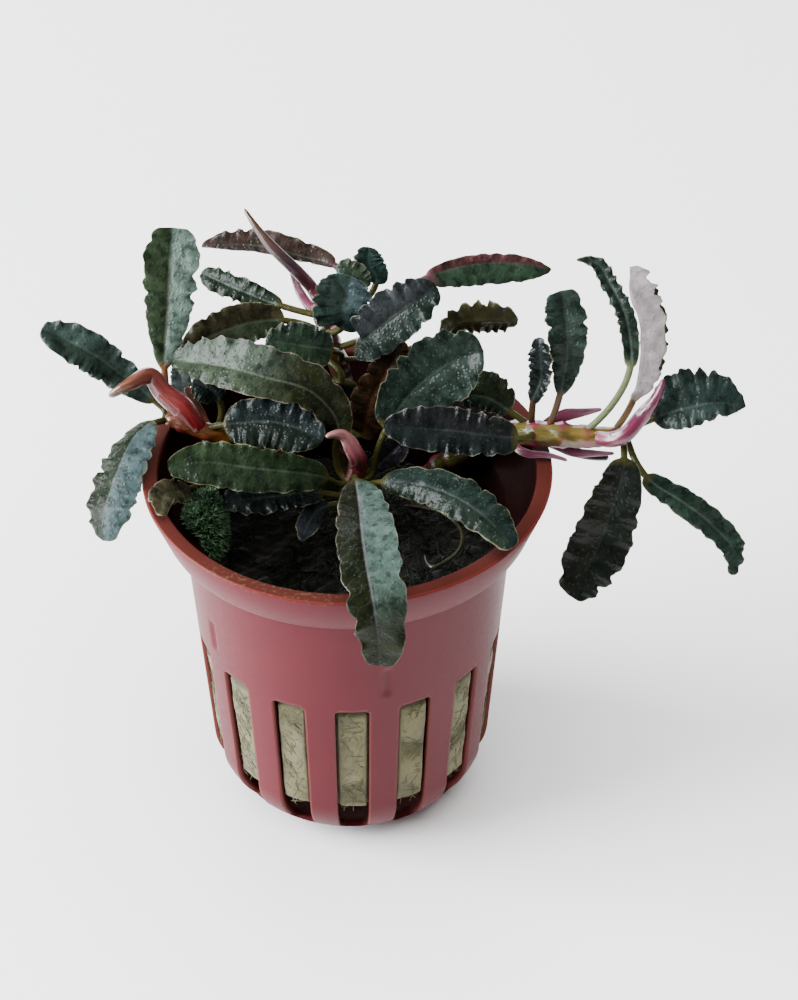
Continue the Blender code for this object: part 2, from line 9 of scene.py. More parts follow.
import bpy
import numpy as np
from bpy.props import FloatProperty, FloatVectorProperty, IntProperty, PointerProperty
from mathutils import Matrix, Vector


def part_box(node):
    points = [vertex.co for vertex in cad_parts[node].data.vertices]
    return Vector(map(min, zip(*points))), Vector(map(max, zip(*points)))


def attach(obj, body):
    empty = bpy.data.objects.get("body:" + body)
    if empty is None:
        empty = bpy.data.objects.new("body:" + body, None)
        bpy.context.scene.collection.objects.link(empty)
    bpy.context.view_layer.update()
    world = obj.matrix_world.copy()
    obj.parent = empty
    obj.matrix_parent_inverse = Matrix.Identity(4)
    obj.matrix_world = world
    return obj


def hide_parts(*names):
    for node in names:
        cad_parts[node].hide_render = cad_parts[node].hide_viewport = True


bl_info = {
    "name": "Potted Bucephalandra",
    "version": (1, 0, 0),
    "blender": (4, 5, 0),
    "location": "3D View > Sidebar > Bucephalandra",
    "description": "Builds the pot, rock wool, moss, stems and leaves of a potted Bucephalandra",
    "category": "Object",
}

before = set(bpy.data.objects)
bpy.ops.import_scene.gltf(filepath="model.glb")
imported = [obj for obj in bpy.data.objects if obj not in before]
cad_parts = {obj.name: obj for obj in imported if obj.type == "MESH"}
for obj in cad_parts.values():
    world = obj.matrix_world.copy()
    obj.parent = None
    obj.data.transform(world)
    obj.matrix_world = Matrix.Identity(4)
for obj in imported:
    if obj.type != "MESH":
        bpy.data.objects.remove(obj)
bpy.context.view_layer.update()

MM = 0.001
STAGE_LIGHT = 3.4
LIGHT_AIM = (0.0, 0.0, 0.04)

# Camera: 40 degrees down on the plant, slightly right of the pot's axis
CAMERA_DOWN = 40.15
CAMERA_AT = (6.3, -266.0, 269.0)
CAMERA_LENS = 101.88
CAMERA_SENSOR = 36.0

# Net pot, as the frame has it
POT_HEIGHT = 50.0
RIM_RADIUS = 25.0
RIM_INNER_RADIUS = 23.1
RIM_EDGE = 0.3
COLLAR_HEIGHT = 5.7
COLLAR_FOOT_RADIUS = 23.0
COLLAR_INNER_STEP = 1.4
COLLAR_FLARE = 1.2
COLLAR_CHAMFER = 0.4
COLLAR_NECK_OUT = 0.3
COLLAR_NECK_DROP = 0.7
BODY_RADIUS = 17.4
BODY_TAPER = 0.07
WALL = 1.0
BASE_FILLET = 9.4
SLOT_COUNT = 15
SLOT_HALF_ANGLE = 6.4
SLOT_TURN = 1.8
SLOT_BOTTOM = 3.1
SLOT_TOP = 27.0
SLOT_CORNER = 0.6
SLOT_COLUMNS = 9
BAR_COLUMNS = 12
MARK_COUNT = 5
MARK_TURN = 14.5
MARK_HALF_WIDTH = 0.45
MARK_HALF_HEIGHT = 2.25
MARK_MIDDLE = 31.8
MARK_DEPTH = 0.35

# Rock wool
WOOL_BOTTOM = 6.6
WOOL_TOP = 36.0
WOOL_GAP = 0.55
WOOL_COLUMNS = 600

# Leaves and stems
STALK_RADIUS = 0.42
LEAF_ROWS = 150
LEAF_COLUMNS = 33
STEM_ROWS = 90
STEM_COLUMNS = 28
CURVE_SAMPLES = 400
RHIZOME_SAMPLES = 60
STEM_GAP = 0.3
LOBE_ROUND = 0.06
ROOT_ROWS = 8
SHEATH_LEAD = 6
STREAK_STRETCH = 0.2
TOWARDS_VIEWER = (0.0, -0.77, 0.64)
UPWARDS = (0.0, -0.5, 0.86)


class Leaf(NamedTuple):
    """A leaf: its line from stem to tip, how the blade lies on it, its waves and its colours."""

    name: str
    line: tuple
    halves: tuple
    stalk: float
    face: tuple = TOWARDS_VIEWER
    fold: float = 12.0
    base: float = 0.5
    tip: float = 0.35
    tip_face: tuple = None
    wave: float = 0.3
    waves: int = 7
    scallop: float = 1.0
    # first and second colour the blade's two halves; on some leaves one half is paler for a painted sheen
    first: str = "#26331f"
    second: str = "#2a3a2c"
    dark: str = "#18221a"
    under: str = "#46564c"
    midrib: str = "#6a7a6c"
    margin: str = "#b4b48c"
    petiole: str = "#5c5a2e"
    grain: str = "#5f766c"
    specks: float = 0.3
    gloss: float = 0.5
    veins: float = 0.08
    rib: float = 0.4
    base_tint: str = None
    tip_tint: str = None


class Stem(NamedTuple):
    """A stem, rolled new leaf, bract or root: its line, radii and colours from base to tip."""

    name: str
    line: tuple
    radii: tuple
    colours: tuple
    form: str = "stem"
    edge: str = None


STEMS = (
    Stem("left_rhizome", ((-5, 11.5, 37.2), (-12.5, 6.5, 48.3), (-17.5, 5.5, 51), (-22.5, 7, 52)),
         (1.5, 1.4, 1.3, 1.0), ("#5a4418", "#86641e", "#984c22"), edge="#84202a"),
    Stem("centre_rhizome", ((0, 4, 37), (0.3, 2.5, 42), (0.5, 1, 46.5)), (1.6, 1.5, 1.3),
         ("#3a3818", "#5c6428", "#7c8434"), edge="#6a3420"),
    Stem("right_rhizome", ((9, 12, 37.2), (14, 9.5, 44.5), (18.5, 6, 50), (24, 3, 52.6), (29.5, 2, 53),
                           (33.5, 1.5, 53.5)), (1.5, 1.5, 1.6, 1.7, 1.6, 1.1),
         ("#5a4a20", "#848a34", "#98702e"), edge="#a82c58"),
    Stem("back_rhizome", ((0, 13, 37), (-0.5, 15, 46), (-1, 16, 52), (-2.5, 17, 57), (-4, 21, 59.5)),
         (1.5, 1.5, 1.4, 1.3, 1.0), ("#38321a", "#545024", "#7a3838"), edge="#6a2a2c"),
    # for the rolled new leaves, the last colour is a painted highlight along the seam
    Stem("left_new_leaf", ((-20.2, 6.2, 54.2), (-22.5, 7.2, 55.9), (-24, 8, 57.7), (-26.5, 6, 58),
                           (-29, 5.5, 56.5)), (1.0, 1.5, 1.2, 0.9, 0.4),
         ("#a4202c", "#a04440", "#8a5c40"), "rolled", "#d0968c"),
    Stem("centre_new_leaf", ((1.3, 1.8, 48.5), (1.0, 0.2, 52), (-0.5, 0.5, 54.5), (-2.5, -0.5, 55)),
         (1.1, 1.2, 1.0, 0.3), ("#98182a", "#b0485e", "#d49894"), "rolled", "#e0b0ac"),
    Stem("right_new_leaf", ((33.5, -0.5, 55.2), (35.5, 1, 56.8), (37, 1.5, 59), (38, 2.5, 61.5)),
         (0.9, 1.0, 0.9, 0.25), ("#a8506c", "#8c2c54", "#903c64"), "rolled", "#dca8bc"),
    Stem("back_new_leaf", ((-4.6, 22.5, 60.5), (-6, 22.5, 62.5), (-10, 24.5, 66), (-13, 27.5, 69)),
         (0.8, 0.8, 0.7, 0.2), ("#94183c", "#4c3640", "#7c5434"), "rolled", "#7c6468"),
    Stem("back_bract", ((-5.8, 21.5, 59.8), (-6.6, 23.2, 60.5), (-7.5, 25, 62.5)), (0.6, 0.6, 0.2),
         ("#a83c64", "#b05878", "#c890a0"), "bract", "#d8b0bc"),
    Stem("right_upper_bract", ((26.5, 4.9, 54), (28.5, 4.8, 54.5), (31, 4.6, 55.2)), (0.5, 0.8, 0.2),
         ("#a03458", "#ac4870", "#c890a8"), "bract", "#ecd8de"),
    Stem("right_lower_bract", ((22, 1.2, 51), (24.5, 1, 50.9), (26.8, 0.6, 50.4)), (0.5, 0.5, 0.2),
         ("#a03054", "#a84870", "#c890a8"), "bract", "#e8d0d8"),
    Stem("right_under_bract", ((27.5, 2, 50.6), (30, 1.5, 50.8), (32.5, 1, 51.2)), (0.5, 0.6, 0.2),
         ("#a03458", "#ac4c74", "#c890a8"), "bract", "#e8d0d8"),
    Stem("right_old_stalk", ((26, 3, 50.3), (28.5, 2.5, 49.7), (32, 2.5, 49.4)), (0.35, 0.4, 0.45),
         ("#6a5a44", "#6f6248", "#3c342a"), "old"),
    Stem("left_bract", ((-18.6, 7.4, 53), (-19.3, 8.2, 54.2), (-19.8, 8.8, 55.4)), (0.5, 0.8, 0.4),
         ("#a8582c", "#b86048", "#cc8c78"), "bract", "#d8a898"),
    Stem("curly_root", ((6.5, 8, 36.9), (11.5, 6, 37.5), (14, 2, 38), (13, -3.5, 38.5), (10.5, -5, 38),
                        (9.5, -2, 37.5)), (0.25, 0.25), ("#4a4630", "#5c5a3c", "#4a4630")),
)

LEAVES = (
    # the paler second half is a painted sheen
    Leaf("left_upright_leaf", ((-22, 8, 52.5), (-22.5, 10, 56), (-22, 15, 64), (-21.5, 20.5, 71)),
         (3.5, 4.0), 0.2, fold=15, base=0.75, tip=0.25, wave=0.35, first="#465a40", second="#6c8478",
         midrib="#98867c", petiole="#94643c", specks=0.4),
    Leaf("left_far_leaf", ((-23, 8.5, 52.5), (-27.5, 10.5, 55.5), (-32, 11, 59.3), (-37.5, 12.5, 61.5)),
         (2.7, 2.6), 0.06, (-0.1, -0.6, 0.8), base=0.6, wave=0.5, first="#35463e", second="#475a54"),
    # the paler first half is a painted sheen
    Leaf("left_drooping_leaf", ((-22.5, 6.4, 52), (-24.2, 4.5, 52.8), (-27.6, -1.6, 51),
                                (-29.2, -6, 47.5), (-29.5, -7.5, 44.5)),
         (3.8, 3.8), 0.04, (-0.45, -0.35, 0.82), fold=-12, base=0.55, wave=0.4, first="#5d7274",
         second="#2c3826", midrib="#93a09c", specks=0.6, gloss=0.35),
    Leaf("left_speckled_leaf", ((-17.5, 5.5, 51.5), (-14, 4.5, 53), (-9, 3.6, 54), (-3, 0.8, 53.2)),
         (3.4, 3.7), 0.06, (0, -0.7, 0.7), base=0.45, tip=0.4, wave=0.35, first="#303a3c",
         second="#222c26", specks=0.9),
    Leaf("left_small_leaf", ((-16, 6, 51.5), (-15.5, 6.5, 54), (-16.5, 7, 56), (-19, 8, 56.5)),
         (2.2, 1.9), 0.4, (0, -0.6, 0.8), wave=0.2, first="#27302c", second="#2c3834", specks=0.7),
    Leaf("left_pale_leaf", ((-20.3, 8, 52.3), (-20.6, 9.6, 53.6), (-20.7, 11, 54.8), (-21.2, 12.7, 56.2)),
         (1.4, 1.4), 0.2, (0.2, -0.7, 0.6), tip=0.5, wave=0.15, first="#7f918f", second="#8b9c9a"),
    # the pale tip half, lighter on the second side, is a painted sheen; the base keeps its own dark olive
    Leaf("centre_arching_leaf", ((-1.2, 2.6, 47.6), (-1.5, 3, 50.5), (-1, 3, 53.4), (-4, 3.2, 58.7),
                                 (-10, 3.5, 61), (-16, 6.5, 60.5), (-21.5, 10.5, 58)),
         (2.9, 3.9), 0.15, (-0.2, -0.6, 0.8), base=0.55, tip=0.42, wave=0.3, waves=9, first="#4a5844",
         second="#5f6e60", midrib="#98a494", margin="#c6b2a2", specks=0.9, base_tint="#34381f"),
    Leaf("centre_left_leaf", ((-1.5, 0, 47.3), (-3, -1.5, 49.5), (-11, -3.5, 52.5), (-17.5, -3, 53),
                              (-21.5, -3.5, 52.5)),
         (3.2, 2.8), 0.1, (0, -0.7, 0.7), wave=0.25, first="#2f3f2a", second="#374a30",
         margin="#c0bd8e", specks=0.12),
    Leaf("centre_under_leaf", ((-1.2, -0.6, 45.8), (-3, -1, 46.5), (-10, -3, 47.5), (-15, -4, 47.5)),
         (2.4, 2.8), 0.14, UPWARDS, wave=0.4, first="#27302f", second="#303c3c", specks=0.8),
    Leaf("old_curled_leaf", ((-19, -2.5, 48.5), (-20.5, -5, 50), (-22, -8, 51.5), (-21.5, -10.5, 51)),
         (1.7, 1.9), 0.06, (0.2, -0.5, 0.8), base=0.4, tip=0.4, wave=0.3, waves=5, first="#4e4a34",
         second="#5c5640", margin="#c2b894"),
    # the paler first half is a painted sheen and the lilac-white midrib line a painted reflection
    Leaf("centre_front_leaf", ((1, -0.6, 48.6), (1.5, -7.5, 51), (2.5, -22, 54), (3.5, -28, 52),
                               (4, -29, 48), (4, -29.5, 44.5)),
         (4.2, 3.3), 0.03, (0, -0.6, 0.8), fold=10, tip=0.3, wave=0.25, waves=8, first="#5f786e",
         second="#282e1c", midrib="#a6a2ac", margin="#b9b4a0", specks=0.5, rib=0.75,
         tip_tint="#2c3318"),
    Leaf("centre_right_front_leaf", ((2.6, -0.6, 47.6), (4.5, -2.5, 49.5), (10, -7, 52.5),
                                     (15.5, -12.5, 53.5), (19.5, -17.5, 52)),
         (3.1, 2.5), 0.12, (0.1, -0.6, 0.8), fold=-10, wave=0.35, first="#263630", second="#243428",
         midrib="#6c7078", margin="#b7b88f", specks=0.7),
    Leaf("centre_broad_leaf", ((3.2, 1.2, 48.3), (4.2, 1.5, 53), (7.5, 5, 57), (12, 6.5, 60.5),
                               (16.5, 6, 63)),
         (4.6, 4.9), 0.28, (0.1, -0.8, 0.6), wave=0.3, first="#2d3e36", second="#33443c", specks=0.8),
    Leaf("centre_purple_leaf", ((2.6, 2.6, 46.8), (3.8, 2.8, 48), (5.5, 2.8, 50), (7, 3.2, 51.8)),
         (1.8, 1.8), 0.15, wave=0.1, first="#332c38", second="#3e3642", specks=0.2),
    Leaf("centre_inner_leaf", ((-0.6, -0.8, 44.6), (-3, -1, 44.3), (-5, -4.5, 44), (-5.5, -6.5, 43.5)),
         (1.5, 1.5), 0.2, tip=0.5, wave=0.1, first="#2c3036", second="#3a4048"),
    Leaf("right_inward_leaf", ((22.5, 2.2, 53.2), (21.5, 0.5, 54), (19, 0, 54.5), (12.5, 0, 55.5),
                               (4.5, -0.5, 56.5)),
         (3.1, 3.0), 0.12, (0, -0.65, 0.75), base=0.35, wave=0.4, waves=8, first="#22292a",
         second="#2b2c2e", midrib="#4e5658", margin="#a09f8c", specks=0.35),
    Leaf("right_back_leaf", ((22, 4.5, 53), (20, 5.5, 54), (17, 6.5, 55.5), (13, 7, 55)),
         (1.8, 3.4), 0.1, tip=0.5, wave=0.3, first="#26342a", second="#36402c"),
    Leaf("right_small_leaf", ((22.5, 4, 53.5), (22.5, 4, 56), (23.4, 3.7, 61.7), (23, 5, 65.8)),
         (1.6, 1.6), 0.2, (-0.4, -0.7, 0.5), base=0.6, tip=0.3, wave=0.3, first="#20282a",
         second="#262e30", petiole="#6d5238"),
    Leaf("right_upright_leaf", ((24.5, 3, 53.5), (25.5, 3.5, 57), (26.5, 5, 64), (25.5, 8, 70.5)),
         (2.7, 2.7), 0.2, base=0.7, tip=0.2, wave=0.35, first="#2e3f38", second="#384a40",
         petiole="#7d5f48"),
    Leaf("right_curved_leaf", ((28.5, 2, 53.5), (32, 2.5, 57.5), (34, 3, 63.5), (33.5, 6, 67.5),
                               (31.5, 9.5, 70.5), (30, 11.5, 72), (27.5, 11.5, 72.5)),
         (1.3, 1.2), 0.36, (0.1, -0.75, 0.6), base=0.4, tip=0.5, wave=0.5, waves=11, first="#2f4238",
         second="#34463c", midrib="#a5b0a6", petiole="#93a070"),
    Leaf("right_silver_leaf", ((33, 3, 54), (34.5, 3.5, 57), (35.5, 5, 61), (35.5, 8, 65.5),
                               (34.5, 11, 68.5), (34, 13.5, 70)),
         (3.1, 3.9), 0.16, (1, 0.1, 0), fold=62, tip=0.3, wave=0.35, first="#4a4228", second="#4a4228",
         under="#cdc0c4", midrib="#8a806c", petiole="#b08a60"),
    Leaf("right_far_leaf", ((33, 2, 53.5), (35.5, 2.5, 54.5), (40, 1.5, 57.5), (44, 1, 59),
                            (48, 1.5, 58)),
         (4.8, 2.7), 0.18, (0.1, -0.6, 0.75), base=0.6, tip=0.85, wave=0.4, first="#334440",
         second="#394945", specks=0.3),
    Leaf("right_lower_leaf", ((33.5, 1.5, 53), (33.5, -1.5, 51.5), (32.1, -4, 46.5), (30.5, -6, 42),
                              (26.9, -9.5, 37.5)),
         (3.9, 3.9), 0.05, (0.1, -0.75, 0.65), base=0.45, tip=0.28, wave=0.4, first="#262c26",
         second="#2a2b24", midrib="#4f5852", specks=0.55),
    Leaf("right_lower_narrow_leaf", ((34.5, 2.5, 51), (36.5, -1, 49), (40.5, -3, 47), (44.5, -4, 44),
                                     (47, -5.5, 41.5), (47, -7, 38.5)),
         (1.9, 1.8), 0.2, (0.1, -0.75, 0.65), base=0.35, wave=0.45, waves=8, first="#2c4236",
         second="#33493e", midrib="#8a988f"),
    Leaf("back_brown_leaf", ((-3.5, 20, 58.5), (-2, 22.5, 60), (-1.5, 27.5, 60), (-6.5, 29.5, 60.5),
                             (-12.5, 31, 61), (-19, 32, 60)),
         (0.9, 2.3), 0.28, tip=0.5, wave=0.25, first="#4c3c3a", second="#54433c", petiole="#5a3c3c"),
    Leaf("back_left_leaf", ((-3.5, 18.5, 59), (-6, 19.5, 59), (-10, 21.5, 59), (-14.5, 24.5, 59),
                            (-19, 29, 58)), (1.8, 1.9), 0.2, tip=0.4, wave=0.35, first="#253525"),
    Leaf("back_olive_leaf", ((-3, 17.5, 57), (-6, 19, 57.5), (-10, 19, 58), (-15.5, 17.5, 57.5),
                             (-21, 15, 55.5)),
         (2.8, 2.8), 0.2, base=0.45, tip=0.5, wave=0.35, first="#3a4630", second="#4a4530"),
    Leaf("back_tall_leaf", ((-2, 18, 58.5), (1, 19.5, 60), (3, 21, 61), (3.5, 21.5, 62.5),
                            (2.5, 22.5, 64.5), (2.5, 23.5, 66)),
         (2.0, 2.0), 0.58, base=0.4, tip=0.3, wave=0.2, first="#2c4440", second="#304a44"),
    Leaf("back_curled_leaf", ((-2.5, 18.5, 59), (0.5, 19.5, 61), (2, 19.5, 62.5), (1.5, 20, 63.5),
                              (0, 20.5, 64.5), (-1.5, 21, 64.5)),
         (1.7, 1.7), 0.52, tip=0.5, wave=0.3, first="#44584c", second="#52624c", specks=0.6),
    Leaf("back_facing_leaf", ((-2.6, 17.3, 57.6), (-2, 15.6, 58.6), (-0.8, 14.6, 60), (-0.5, 14, 64),
                              (0.5, 15.5, 67.2)),
         (4.0, 3.6), 0.26, base=0.4, tip=0.3, wave=0.3, first="#3f544c", second="#45585a", specks=0.7),
    Leaf("back_broad_leaf", ((-1.8, 16.5, 55.3), (1.2, 14, 58.5), (2, 11.5, 60.5), (6, 11.2, 64.7),
                             (11, 12, 68)),
         (3.6, 3.5), 0.24, base=0.35, wave=0.3, first="#3c4144", second="#26352e", margin="#b4b5a0",
         specks=0.6),
    Leaf("back_dotted_leaf", ((-1.3, 16.2, 53.5), (-1, 13.5, 57), (-2, 11.5, 59), (-6, 10.5, 60.5),
                              (-10, 11, 61)),
         (2.9, 2.9), 0.36, base=0.35, wave=0.3, first="#2f4430", second="#3a4e3e", specks=0.9),
    Leaf("back_hanging_leaf", ((-1.2, 16, 52), (-2.2, 14.2, 55), (-1.2, 13, 54.8), (-1, 12.9, 49.8),
                               (-0.5, 12, 45.7)),
         (2.6, 2.6), 0.3, base=0.3, tip=0.6, wave=0.25, first="#202a28", second="#242e2c"),
    Leaf("old_brown_leaf", ((-0.3, 14.5, 44.5), (1.8, 10.5, 46.8), (2.3, 10.3, 50.5), (4.6, 10.7, 55.8),
                            (7, 12, 60)),
         (2.6, 2.6), 0.16, base=0.3, tip=0.4, wave=0.4, first="#4e3624", second="#5c402a",
         margin="#7c5030", midrib="#8a4c24", specks=0.5),
    Leaf("back_pink_leaf", ((-2, 17, 58), (3.5, 18, 61), (7, 20, 62), (11.5, 23, 62.5), (19, 25, 62.5),
                            (25.5, 25, 61.5)),
         (1.3, 2.9), 0.45, base=0.4, tip=0.5, wave=0.3, first="#7c4c50", second="#3c5440",
         margin="#a07c74", petiole="#94606a"),
    Leaf("back_folded_leaf", ((-0.5, 16, 54), (6.5, 14.5, 56.5), (11, 14.5, 58.5), (13, 15.5, 59.7),
                              (17, 16, 60.4), (21, 16.5, 59.2)),
         (2.4, 2.4), 0.54, (0, -0.8, 0.6), base=0.35, tip=0.4, tip_face=(0, 1, -0.2), wave=0.45,
         first="#2c3836", second="#2c3836", under="#4c4a2e"),
)


def linear(code):
    """Linear colour of a surface that looks like an sRGB hex value in the stage's bright light."""
    channels = np.array([int(code[i:i + 2], 16) for i in (1, 3, 5)]) / 255
    low = channels / 12.92
    high = ((channels + 0.055) / 1.055) ** 2.4
    return (*(np.where(channels <= 0.04045, low, high) / STAGE_LIGHT).tolist(), 1.0)


def per_size(size):
    """Texture scale whose features repeat about every size mm on Object coordinates."""
    return 1.0 / (size * MM)


def add(tree, kind, inputs=None, out=0, **settings):
    """Add a node, set its properties, set or link its inputs, and return one of its outputs."""
    node = tree.nodes.new(kind)
    for key, value in settings.items():
        setattr(node, key, value)
    for key, value in (inputs or {}).items():
        if isinstance(value, bpy.types.NodeSocket):
            tree.links.new(value, node.inputs[key])
        else:
            node.inputs[key].default_value = value
    return node.outputs[out]


def new_material(name, **values):
    """A material with its Principled shader, whose plain values are set on its own sockets."""
    material = bpy.data.materials.new(name)
    material.use_nodes = True
    tree = material.node_tree
    shader = tree.nodes["Principled BSDF"]
    for key, value in values.items():
        shader.inputs[key.replace("_", " ")].default_value = value
    return material, tree, shader


def smooth_step(x, low, high):
    """0 below low and 1 above high, with a smooth S between."""
    t = np.clip((x - low) / (high - low), 0, 1)
    return t * t * (3 - 2 * t)


def lumps(points, size, seed, waves=14):
    """Smooth noise from -1 to 1: a mean of sine waves of about one size in random directions."""
    rng = np.random.default_rng(seed)
    turns = rng.normal(size=(waves, 3))
    turns *= (2 * pi / size) * rng.uniform(0.6, 1.5, (waves, 1)) / np.linalg.norm(turns, axis=1)[:, None]
    phases = rng.uniform(0, 2 * pi, waves)
    return np.sin(points @ turns.T + phases).sum(-1) / waves ** 0.5


def smooth_line(points, count):
    """Points evenly spaced along a smooth curve through the given ones (cubic Hermite)."""
    points = np.asarray(points, float)
    knots = np.r_[0, np.cumsum(np.linalg.norm(np.diff(points, axis=0), axis=1))]
    slopes = np.gradient(points, knots, axis=0, edge_order=2)
    at = np.linspace(0, knots[-1], CURVE_SAMPLES)
    i = np.clip(np.searchsorted(knots, at, side="right") - 1, 0, len(knots) - 2)
    span = (knots[i + 1] - knots[i])[:, None]
    q = (at - knots[i])[:, None] / span
    curve = ((2 * q**3 - 3 * q**2 + 1) * points[i] + (q**3 - 2 * q**2 + q) * span * slopes[i]
             + (3 * q**2 - 2 * q**3) * points[i + 1] + (q**3 - q**2) * span * slopes[i + 1])
    along = np.r_[0, np.cumsum(np.linalg.norm(np.diff(curve, axis=0), axis=1))]
    wanted = np.linspace(0, along[-1], count)
    return np.stack([np.interp(wanted, along, curve[:, k]) for k in range(3)], -1)


def frames(line, face):
    """Unit vectors ahead, up and side at each point of a line, up being face made square to it."""
    ahead = np.gradient(line, axis=0)
    ahead /= np.linalg.norm(ahead, axis=1)[:, None]
    up = face - (face * ahead).sum(1)[:, None] * ahead
    up /= np.linalg.norm(up, axis=1)[:, None]
    return ahead, up, np.cross(ahead, up)


def make_piece(name, points, faces, material, nodes=(), values=None):
    """A mesh object from points in mm, riding on the body and standing for CAD nodes."""
    mesh = bpy.data.meshes.new(name)
    mesh.from_pydata((points * MM).tolist(), [], faces)
    for key, numbers in (values or {}).items():
        attribute = mesh.attributes.new(key, "FLOAT", "POINT")
        attribute.data.foreach_set("value", np.ascontiguousarray(numbers, np.float32))
    mesh.materials.append(material)
    mesh.shade_smooth()
    piece = bpy.data.objects.new(name, mesh)
    bpy.context.scene.collection.objects.link(piece)
    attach(piece, "root")
    if nodes:
        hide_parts(*nodes)
    return piece


def ring_faces(rows, columns):
    """Quads between neighbouring rings, as an array of rows - 1 by columns by 4 point numbers."""
    index = np.arange(rows * columns).reshape(rows, columns)
    here, ahead = index[:-1], index[1:]
    return np.stack([here, np.roll(here, -1, 1), np.roll(ahead, -1, 1), ahead], -1)


def closed_skin(rings):
    """Points and faces of rings joined in order, each end closed by a fan on its middle point."""
    rows, columns = rings.shape[:2]
    points = np.concatenate([rings.reshape(-1, 3), rings[0].mean(0)[None], rings[-1].mean(0)[None]])
    k = np.arange(columns)
    n = np.roll(k, -1)
    start, end, last = rows * columns, rows * columns + 1, (rows - 1) * columns
    first_fan = np.stack([np.full(columns, start), n, k], -1)
    last_fan = np.stack([np.full(columns, end), last + k, last + n], -1)
    faces = ring_faces(rows, columns).reshape(-1, 4).tolist()
    return points, faces + first_fan.tolist() + last_fan.tolist()


def with_ends(values):
    """A value for each point of a closed skin, from one for each ring point."""
    return np.r_[values.ravel(), values[0].mean(), values[-1].mean()]


def strands(lines, radii, flat=1.0):
    """Many four-sided threads at once: lines is threads by rows by 3, radii threads by rows."""
    ahead = np.gradient(lines, axis=1)
    ahead /= np.linalg.norm(ahead, axis=2)[..., None] + 1e-9
    helper = np.where(np.abs(ahead[..., 2:]) > 0.8, (1.0, 0.0, 0.0), (0.0, 0.0, 1.0))
    side = np.cross(ahead, helper)
    side /= np.linalg.norm(side, axis=2)[..., None]
    up = np.cross(side, ahead)
    corners = [(-side, 1), (up, flat), (side, 1), (-up, flat)]
    points = np.stack([lines + way * (radii * size)[..., None] for way, size in corners], 2)
    count, rows = lines.shape[:2]
    each = rows * 4
    tube = ring_faces(rows, 4).reshape(-1, 4)
    caps = np.array([[3, 2, 1, 0], [each - 4, each - 3, each - 2, each - 1]])
    faces = np.concatenate([tube, caps])[None] + (np.arange(count) * each)[:, None, None]
    return points.reshape(-1, 3), faces.reshape(-1, 4).tolist()


def body_radius(height):
    """Outer radius of the pot's wall, which rounds in to the base below the fillet's height."""
    height = np.asarray(height, float)
    low = np.clip(BASE_FILLET - height, 0, BASE_FILLET)
    straight = BODY_RADIUS + BODY_TAPER * np.maximum(height, BASE_FILLET)
    return straight - BASE_FILLET + np.sqrt(BASE_FILLET**2 - low**2)


def inner_radius(height):
    """Inner radius of the pot's wall at a height above its inner base."""
    size = BASE_FILLET - WALL
    low = np.clip(BASE_FILLET - np.asarray(height, float), 0, size)
    straight = BODY_RADIUS + BODY_TAPER * np.maximum(height, BASE_FILLET)
    return straight - BASE_FILLET + np.sqrt(size**2 - low**2)


def pot_rows():
    """Radius, height and slot row of each ring: up the outside, over the rim and down inside."""
    ends = np.array([0, 0.05, 0.15, 0.3, 0.45, SLOT_CORNER])
    middle = np.linspace(SLOT_BOTTOM + SLOT_CORNER, SLOT_TOP - SLOT_CORNER, 34)[1:-1]
    slot = np.r_[SLOT_BOTTOM + ends, middle, SLOT_TOP - ends[::-1]]
    foot = POT_HEIGHT - COLLAR_HEIGHT
    neck = float(body_radius(foot))
    flat = float(body_radius(0))
    low = BASE_FILLET * (1 - np.cos(np.linspace(0, np.arccos(1 - SLOT_BOTTOM / BASE_FILLET), 9)))[1:-1]
    wall = np.linspace(SLOT_TOP, foot - COLLAR_FLARE, 36)[1:]
    collar = [(neck + COLLAR_NECK_OUT, foot - COLLAR_NECK_DROP),
              (COLLAR_FOOT_RADIUS - COLLAR_CHAMFER, foot - COLLAR_CHAMFER),
              (COLLAR_FOOT_RADIUS - 0.08, foot - 0.12), (COLLAR_FOOT_RADIUS + 0.05, foot + 0.15)]
    turn = np.radians(np.linspace(0, 90, 5))
    rim = [(RIM_RADIUS - RIM_EDGE + RIM_EDGE * cos(a), POT_HEIGHT - RIM_EDGE + RIM_EDGE * sin(a))
           for a in turn]
    lip = [(RIM_INNER_RADIUS + 0.25 - 0.25 * sin(a), POT_HEIGHT - 0.25 + 0.25 * cos(a)) for a in turn]
    lip_row = 4 + len(low) + len(slot) + len(wall) + len(collar) + len(rim)
    step = RIM_INNER_RADIUS - COLLAR_INNER_STEP
    outside = [(flat * part, 0.0) for part in (0.1, 0.5, 0.9, 1.0)]
    outside += [(float(body_radius(z)), z) for z in low]
    first = len(outside)
    outside += [(float(body_radius(z)), z) for z in np.r_[slot, wall]]
    outside += collar + rim + lip + [(step, foot + COLLAR_FLARE), (step - 0.3, foot + COLLAR_FLARE - 0.25),
                                     (neck - WALL, foot)]
    inside_wall = np.linspace(foot, SLOT_TOP, 20)[1:-1]
    outside += [(float(inner_radius(z)), z) for z in inside_wall]
    second = len(outside)
    inside_low = WALL + (SLOT_BOTTOM - WALL) * np.linspace(1, 0, 6)[1:] ** 2
    outside += [(float(inner_radius(z)), z) for z in np.r_[slot[::-1], inside_low]]
    outside += [(float(inner_radius(WALL)) * part, WALL) for part in (0.6, 0.1)]
    return np.array(outside), first, second, len(slot), lip_row


